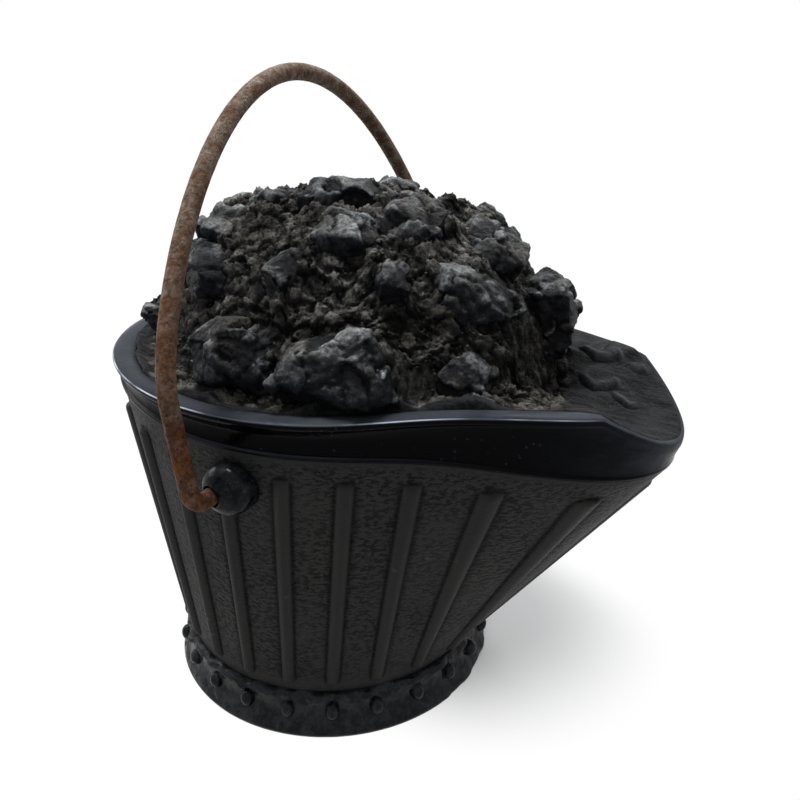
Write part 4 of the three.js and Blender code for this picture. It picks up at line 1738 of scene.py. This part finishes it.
@dataclass(frozen=True)
class Ledge:
    """A shell-like step in the smooth deck."""

    edge: tuple[Pair, ...]  # its edge in plan
    height: float
    run: float  # how far it runs back
    undercut: float
    gap_middle: float = -0.35
    gap_width: float = 0.34
    # Where the painted highlight along the edge lies, and how wide it is.
    lip_middle: float = 0.35
    lip_width: float = 0.3

    def lift(self, x: Array, y: Array) -> tuple[Array, Array, Array]:
        """The step over a plan.

        Args:
            x: Places along the scuttle.
            y: Places across it.

        Returns:
            How much the step raises the deck there, how deep in its shadow gap the place is, for painted
            shade, and how near its edge, for a painted highlight.
        """
        line = np.array(self.edge)
        near = np.full(x.shape, 1e9)
        side, share = np.zeros(x.shape), np.zeros(x.shape)
        for number, (start, end) in enumerate(zip(line, line[1:])):
            way = end - start
            along = np.clip(((x - start[0]) * way[0] + (y - start[1]) * way[1]) / (way @ way), 0, 1)
            dx, dy = x - start[0] - along * way[0], y - start[1] - along * way[1]
            gap = np.hypot(dx, dy)
            closer = gap < near
            near = np.where(closer, gap, near)
            side = np.where(closer, np.sign(way[0] * dy - way[1] * dx), side)
            share = np.where(closer, (number + along) / (len(line) - 1), share)
        signed = near * side
        ends = smooth_step(0.0, 0.2, share) * smooth_step(0.0, 0.2, 1 - share)
        shelf = smooth_step(-0.15, 0.2, signed) * np.exp(-np.maximum(signed, 0) / self.run)
        gap = bell(signed, self.gap_middle, self.gap_width) * ends
        edge = bell(signed, self.lip_middle, self.lip_width) * ends
        return self.height * shelf * ends - self.undercut * gap, gap, edge


@dataclass(frozen=True)
class Shoreline:
    """One line round the rim's land along which the fines feather out."""

    outer: float  # how far outside the first line
    below: float  # how far under the rim's top
    below_at_lip: float


@dataclass
class Slack:
    """The bed of fines: a steep heap that settles to a smooth deck inside the rim."""

    form: ScuttleForm
    finish: Material
    heap_height: float = 28.6
    heap_margin: float = 7.0
    heap_shift: float = 6.5
    heap_steepness: float = 3.2
    heap_fullness: float = 1.4
    roughness: float = 1.2
    wave: float = 12.0
    rubble: float = 0.9
    rubble_wave: float = 7.4
    climb: float = 2.3
    climb_reach: float = 2.4
    skirt_share: float = 0.93  # where the bed's hidden lower edge lies on the wall
    shore_inside: float = 2.5  # how far inside the rim's outline the shore runs
    shore_at_lip: float = 3.1  # how much further out it runs at the lip
    deck_behind: Pair = (24.0, 32.0)  # how far behind the mouth's middle the deck starts and is smooth
    deck_ahead: Pair = (36.0, 44.0)  # how far ahead of it
    deck_slant: float = 0.45
    bank: float = 1.3  # the low bank of fines along the heap's foot
    columns: int = 520
    crowding: float = 0.35
    rings: int = 150
    seed: float = 2.0
    grains_per_square_metre: float = 260000.0
    grain_radius: float = 0.25
    grain_relief: float = 0.55
    shorelines: tuple[Shoreline, ...] = (
        Shoreline(0.0, 0.62, 0.2),
        Shoreline(-0.35, 0.42, -0.12),
        Shoreline(-1.0, 0.62, -0.2),
        Shoreline(-1.8, 0.95, -0.18),
    )
    ledges: tuple[Ledge, ...] = (
        Ledge(
            ((32.5, 15.6), (34.8, 14.2), (37.0, 12.9), (39.2, 12.8), (40.9, 14.0), (42.3, 12.4)),
            height=0.9,
            run=9.0,
            undercut=0.6,
        ),
        Ledge(
            ((34.6, 9.2), (36.6, 7.9), (38.6, 6.8), (40.6, 7.6), (41.9, 8.9), (43.2, 7.8)),
            height=0.8,
            run=7.0,
            undercut=0.6,
        ),
        Ledge(((41.6, 6.9), (43.4, 5.9), (45.2, 4.6), (47.3, 4.9)), height=0.45, run=4.0, undercut=0.5),
        Ledge(((43.2, 13.2), (44.4, 12.3), (45.6, 12.9), (47.2, 12.4)), height=0.5, run=3.0, undercut=0.2),
        Ledge(((-36.2, -29.6), (-35.0, -30.6), (-33.8, -31.3)), height=0.3, run=1.5, undercut=1.0),
    )
    breakage: Breakage = Breakage(
        broad_size=5.0,
        broad_depth=0.8,
        face_size=2.6,
        face_tilt=0.5,
        face_step=0.6,
        crack_depth=0.6,
        chip_size=1.0,
        chip_tilt=0.6,
        grit_size=1.0,
        grit_depth=0.65,
        full_depth=1.2,
    )

    def rise(self, x: Array, y: Array) -> tuple[Array, Array]:
        """The heap over a plan.

        Args:
            x: Places along the scuttle, from the foot's middle.
            y: Places across it.

        Returns:
            How high the heap stands there, and the share of the way out.
        """
        length, width = self.form.mouth_half_width, self.form.mouth_half_width - self.heap_margin
        share = np.hypot((x - self.heap_shift) / length, y / width)
        inside = np.clip(1 - np.minimum(share, 1) ** self.heap_steepness, 0, 1)
        return self.heap_height * inside ** (1 / self.heap_fullness), share

    def unevenness(self, x: Array, y: Array) -> Array:
        """Hollows and swellings of the fines, and smaller heaps on them.

        Args:
            x: Places along the scuttle, from the foot's middle.
            y: Places across it.

        Returns:
            How far they stand above the heap's even form.
        """
        pace, quick = 2 * math.pi / self.wave, 2 * math.pi / self.rubble_wave
        swell = self.roughness * np.sin(pace * (x + 0.4 * y)) * np.cos(pace * (0.9 * y - 0.25 * x))
        heaps = np.sin(quick * (0.7 * x - 0.8 * y) + 1.3) * np.cos(quick * (0.55 * x + 0.75 * y) + 0.4)
        return swell + self.rubble * heaps

    def shore(self, turn: Array) -> list[Array]:
        """Rings where the fines feather out over the rim's land, flush with its top at the lip.

        Args:
            turn: Angles round the rim.

        Returns:
            A ring for each shoreline.
        """
        form = self.form
        lip = form.lip_cover(turn)
        lifted = 1 - (1 - lip) ** 2
        waver = 0.35 * np.sin(9 * turn + 1) + 0.3 * np.sin(23 * turn) + 0.2 * np.sin(47 * turn + 2)
        rings = []
        for line in self.shorelines:
            offset = -self.shore_inside + self.shore_at_lip * lip + waver * (1 - 0.8 * lip) + line.outer
            drop = line.below * (1 - lifted) + line.below_at_lip * lifted
            height = form.seam(turn) + form.gap + form.rim_rise(turn) - drop
            rings.append(form.standing(form.mouth(turn, offset), height))
        return rings

    def spaced(self, edge: Array, middle: Array) -> Array:
        """Spaces the bed's rings evenly along the heap's slope.

        Args:
            edge: The outermost ring.
            middle: The heap's middle, on the level of its foot.

        Returns:
            Shares of the way from the edge, 1, to near the middle, 0.
        """
        share = np.linspace(1, 0.012, 2000)
        side = edge[int(len(edge) * 0.75)]
        line = middle + (side - middle) * share[:, None]
        line[:, 2] += self.rise(line[:, 0] - self.form.foot_x, line[:, 1])[0]
        run = run_along(line)
        return np.interp(np.linspace(0, run[-1], self.rings), run, share)

    def stepped(self, ring: Array) -> tuple[Array, Array]:
        """Raises a ring of the deck over the ledges.

        Args:
            ring: Its points, which are changed.

        Returns:
            How deep in a shadow gap each point is, for painted shade, and how near a ledge's edge, for a
            painted highlight.
        """
        shade, light = np.zeros(len(ring)), np.zeros(len(ring))
        for ledge in self.ledges:
            lift, gap, lit = ledge.lift(ring[:, 0], ring[:, 1])
            ring[:, 2] += lift
            shade = np.maximum(shade, gap * min(ledge.undercut * 2, 1))
            light = np.maximum(light, lit * 0.6)
        return shade, light

    def heaped(self, ring: Array, share: float) -> Array:
        """Raises a ring to the heap's height, with its unevenness and the bank at its foot.

        Args:
            ring: Its points, which are changed.
            share: Its share of the way out from the middle.

        Returns:
            How rough each point is.
        """
        x, y = ring[:, 0] - self.form.foot_x, ring[:, 1]
        rise, out = self.rise(x, y)
        along = x - self.form.mouth_shift
        ahead = smooth_step(*self.deck_ahead, along + self.deck_slant * y)
        ends = np.where(along < 0, smooth_step(*self.deck_behind, -along), ahead)
        flat = smooth_step(1.0, 1.1, out) * ends
        settled = np.clip((1 - share - 0.07) * 9, 0, 1)
        ring[:, 2] += rise + settled * self.unevenness(x, y) * (1 - 0.8 * flat)
        ring[:, 2] += self.bank * (1 - ends) * bell(out, 1.02, 0.09) * settled
        return (1 - flat) * (1 - 0.5 * smooth_step(0.96, 1.0, share))

    def build_bed(self) -> Piece:
        """Makes the bed's even skin: a skirt inside the wall, the shore on the rim's land, and the heap.

        Returns:
            The bed.
        """
        form = self.form
        turn = turns_of(self.columns, self.crowding)
        shore = self.shore(turn)
        edge = shore[-1]
        deck = form.seam_height + form.rim_height - form.slack_below_rim
        middle = np.array([self.heap_shift + form.foot_x, 0.0, deck])
        rings = [form.wall_at(turn, self.skirt_share, -form.wall - 2 * form.gap), *shore[:-1]]
        painted = {name: [np.zeros(len(turn))] * len(rings) for name in (ROUGH, CREASE, WORN_AND_LIT)}
        for share in self.spaced(edge, middle):
            ring = middle + (edge - middle) * share
            shade, light = self.stepped(ring)
            rough = self.heaped(ring, share)
            rings.append(ring)
            for name, values in ((ROUGH, rough), (CREASE, shade), (WORN_AND_LIT, light)):
                painted[name].append(values)
        piece = loft("slack_bed", rings)
        for name, at_top in ((ROUGH, 1.0), (CREASE, 0.0), (WORN_AND_LIT, 0.0)):
            paint(piece, name, np.append(np.concatenate(painted[name]), [0.0, at_top]))
        return piece

    def build(self, tree: Tree, grains: Tree, lumps: Sequence[Piece]) -> list[Piece]:
        """Makes the bed and strews its grains.

        Args:
            tree: The weathering tree.
            grains: The tree that strews grains.
            lumps: The finished lumps, which the fines climb a little.

        Returns:
            The bed and the grains.
        """
        bed = self.build_bed()
        self.climb_lumps(bed, lumps)
        run_tree(bed, tree, self.breakage.values(self.seed, self.finish))
        shade_smooth(bed)

        strewn = linked("slack_grains", bed.data.copy())
        values = {"Per Square Metre": self.grains_per_square_metre, "Grain Radius": self.grain_radius * MM}
        run_tree(strewn, grains, {**values, "Material": self.finish})
        for name, value in ((ROUGH, 1.0), (RELIEF, self.grain_relief), (CREASE, 0.0)):
            paint(strewn, name, np.full(1, value))
        place(bed, Body.SCUTTLE, Slot.SLACK, "coal_slack")
        place(strewn, Body.SCUTTLE, Slot.SLACK)
        return [bed, strewn]

    def climb_lumps(self, piece: Piece, lumps: Sequence[Piece]) -> None:
        """Lifts the fines where they lie close to a lump, so that they fill in against it.

        Args:
            piece: The bed.
            lumps: The finished lumps.
        """
        vertices: list[Vector] = []
        faces: list[tuple[int, ...]] = []
        for lump in lumps:
            first = len(vertices)
            vertices += [vertex.co for vertex in lump.data.vertices]
            faces += [tuple(first + i for i in polygon.vertices) for polygon in lump.data.polygons]
        near = BVHTree.FromPolygons(vertices, faces)
        for vertex in piece.data.vertices:
            found = near.find_nearest(vertex.co, 3 * self.climb_reach * MM)
            if found[0] is not None:
                lift = self.climb * math.exp(-((found[3] / MM / self.climb_reach) ** 2))
                vertex.co.z += lift * MM


# ---- Studio ------------------------------------------------------------------------------------------


@dataclass(frozen=True)
class Lamp:
    """A soft light, in millimetres and watts."""

    name: str
    spot: Triple
    width: float
    depth: float
    power: float


def aimed(spot: Triple, target: Triple, roll: float = 0.0) -> Matrix:
    """The pose of a camera or lamp that looks from one place at another.

    Args:
        spot: Where it stands, in millimetres.
        target: What it looks at.
        roll: How far it is turned about its own line of sight, in degrees.

    Returns:
        Its matrix, in metres.
    """
    stand = Vector(spot) * MM
    turn = (Vector(target) * MM - stand).to_track_quat("-Z", "Y").to_matrix().to_4x4()
    return Matrix.Translation(stand) @ turn @ Matrix.Rotation(math.radians(roll), 4, "Z")


@dataclass
class Studio:
    """A white floor that keeps the shadow and darkens it with a painted grey patch, soft light from the upper
    left, and the camera.
    """

    camera_place: Triple = (64.44, -122.96, 115.43)
    camera_target: Triple = (-1.60, 7.71, 56.57)
    lens: float = 33.63
    sensor: float = 36.0
    nearest: float = 0.005  # the camera sees nothing nearer, in metres
    roll: float = 0.32
    floor_size: float = 3000.0
    floor_grey: float = 0.6
    shadow_middle: Triple = (14.0, 20.0, 0.0)
    shadow_start: float = 0.012
    shadow_reach: float = 0.046
    sky_colour: Triple = (0.96, 0.98, 1.0)
    sky_low: float = 0.2
    sky_high: float = 0.7
    lamp_target: Triple = (0.0, 0.0, 50.0)
    lamps: tuple[Lamp, ...] = (
        Lamp("overhead", (-90.0, -40.0, 460.0), 110.0, 110.0, 2.3),
        Lamp("strip", (20.0, 240.0, 340.0), 420.0, 30.0, 1.2),  # behind, for the rim's bright edge
        Lamp("left", (-430.0, -60.0, 240.0), 200.0, 200.0, 0.7),
    )

    def build(self) -> None:
        """Sets up all of it."""
        self.build_camera()
        self.build_floor()
        self.build_world()
        self.build_lights()
        bpy.context.scene.view_settings.view_transform = "Standard"

    def build_camera(self) -> None:
        """The photograph's view."""
        data = bpy.data.cameras.new("camera")
        data.lens = self.lens
        data.sensor_width = self.sensor
        data.clip_start = self.nearest
        camera = linked("camera", data)
        camera.matrix_world = aimed(self.camera_place, self.camera_target, self.roll)
        bpy.context.scene.camera = camera

    def build_floor(self) -> None:
        """A grey floor round the shadow's middle beside the object, a painted shadow under the real one,
        which goes over into the white background away from it.
        """
        size = self.floor_size
        corners = [[-size, -size, 0], [size, -size, 0], [size, size, 0], [-size, size, 0]]
        floor = mesh_piece("floor", np.array(corners), [(0, 1, 2, 3)])
        material = bpy.data.materials.new("floor")
        material.use_nodes = True
        graph = Graph(material.node_tree)
        spot = graph.get("ShaderNodeTexCoord", output="Object")
        fade = graph.ramp(graph.away_from(spot, self.shadow_middle), self.shadow_start, self.shadow_reach)
        # The grey of the painted shadow patch, which the lamps' real shadow falls on.
        grey = (self.floor_grey, self.floor_grey, self.floor_grey, 1)
        matt = graph.get("ShaderNodeBsdfDiffuse", {"Color": grey})
        white = graph.get("ShaderNodeEmission", {"Color": (1, 1, 1, 1), "Strength": 1.0})
        mixed = graph.get("ShaderNodeMixShader", {0: graph.product(fade, graph.seen()), 1: matt, 2: white})
        graph.add("ShaderNodeOutputMaterial", {"Surface": mixed})
        dress(floor, material)

    def build_world(self) -> None:
        """White where it is seen, and a plain soft sky, brighter overhead, for the light on the object."""
        world = bpy.data.worlds.new("studio")
        bpy.context.scene.world = world
        world.use_nodes = True
        graph = Graph(world.node_tree)
        up = graph.up(graph.get("ShaderNodeTexCoord", output="Generated"))
        strength = graph.ramp(up, -0.1, 0.9, self.sky_low, self.sky_high)
        plain = graph.get("ShaderNodeBackground", {"Color": (*self.sky_colour, 1), "Strength": strength})
        white = graph.get("ShaderNodeBackground", {"Color": (1, 1, 1, 1), "Strength": 1.0})
        mixed = graph.get("ShaderNodeMixShader", {0: graph.seen(), 1: plain, 2: white})
        graph.add("ShaderNodeOutputWorld", {"Surface": mixed})

    def build_lights(self) -> None:
        """A key light overhead, a strip behind it that edges the rim, and a weaker light to the left."""
        for lamp in self.lamps:
            data = bpy.data.lights.new(lamp.name, "AREA")
            data.shape = "RECTANGLE"
            data.size = lamp.width * MM
            data.size_y = lamp.depth * MM
            data.energy = lamp.power
            linked(lamp.name, data).matrix_world = aimed(lamp.spot, self.lamp_target)


# ---- All of it ---------------------------------------------------------------------------------------


def millimetres(corner: Vector) -> Triple:
    """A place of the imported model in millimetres."""
    return tuple(value / MM for value in corner)


def build_casting(
    form: ScuttleForm, nodes: dict[str, Piece], pivot: Triple, weathering: Tree, effects: Effects
) -> None:
    """Builds the wall, the rim, the foot and the lugs.

    Args:
        form: The form that they share.
        nodes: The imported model's solids.
        pivot: A place on the bail's axis.
        weathering: The weathering tree.
        effects: The finishes' shared effects.
    """
    Wall(form, CastWallFinish().build(effects), pivot_height=pivot[2]).build()
    Rim(form, GlossFinish().build(effects)).build()
    foot_black = GlossFinish(
        name="foot_black",
        paint=(7, 8, 12),
        dust=(54, 56, 58),
        cover=0.2,
        dust_from=0.1,
        mottle=0.7,
        speck_strength=0.7,
        roughness=0.18,
        specular=0.1,
    )
    foot = Foot(form, foot_black.build(effects))
    foot.build_ring(weathering)
    foot.build_beads(beads_tree())
    boss_black = GlossFinish(
        name="boss_black",
        paint=(6, 7, 10),
        cover=0.18,
        dust_from=0.3,
        mottle=0.25,
        specular=0.06,
    )
    boss_finish = boss_black.build(effects)
    for name in ("lug_near", "lug_far"):
        Lug(name, boss_finish).build(nodes[name])


def build_bail(pivot: Triple, effects: Effects) -> None:
    """Builds the bail between the outermost points of its solid.

    Args:
        pivot: A place on its axis.
        effects: The finishes' shared effects.
    """
    wire_radius, hook, short_of_end = 1.5, 8.6, 0.9  # of the solid, and how much shorter the hook is here
    low, high = (millimetres(corner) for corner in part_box("bail"))
    leg = (high[1] - low[1]) / 2 - wire_radius
    finish = RustyWireFinish().build(effects)
    Bail(finish, pivot, end=leg - hook + short_of_end, leg=leg).build(wire_tree())


def build_coal(form: ScuttleForm, nodes: dict[str, Piece], weathering: Tree, effects: Effects) -> None:
    """Builds the lumps and the fines between them.

    Args:
        form: The form that the fines fill.
        nodes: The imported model's solids.
        weathering: The weathering tree.
        effects: The finishes' shared effects.
    """
    coal = Coal(CoalFinish().build(effects))
    names = sorted(name for name in nodes if name.startswith("coal_") and name != "coal_slack")
    lumps = [coal.build(name, nodes[name], weathering, 1.0 + i) for i, name in enumerate(names)]
    slack_finish = CoalFinish(
        name="slack",
        face=(34, 34, 33),
        dust=(152, 150, 144),
        brown=(112, 108, 98),
        cover=0.95,
        grit=0.0011,
        grit_depth=0.0005,
        roughness=0.55,
    )
    Slack(form, slack_finish.build(effects)).build(weathering, grains_tree(), lumps)


def main() -> None:
    """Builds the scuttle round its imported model."""
    logging.basicConfig(level=logging.INFO, format="%(message)s")
    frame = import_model()
    nodes = frame["nodes"]
    foot_low, foot_high = (millimetres(corner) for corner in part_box("foot_ring"))
    form = ScuttleForm(foot_x=(foot_low[0] + foot_high[0]) / 2)
    pivot = millimetres(frame["joints"][0]["pos_m"])

    Studio().build()
    effects = Effects()
    weathering = weathering_tree()
    build_casting(form, nodes, pivot, weathering, effects)
    build_bail(pivot, effects)
    build_coal(form, nodes, weathering, effects)


if __name__ == "__main__":
    main()
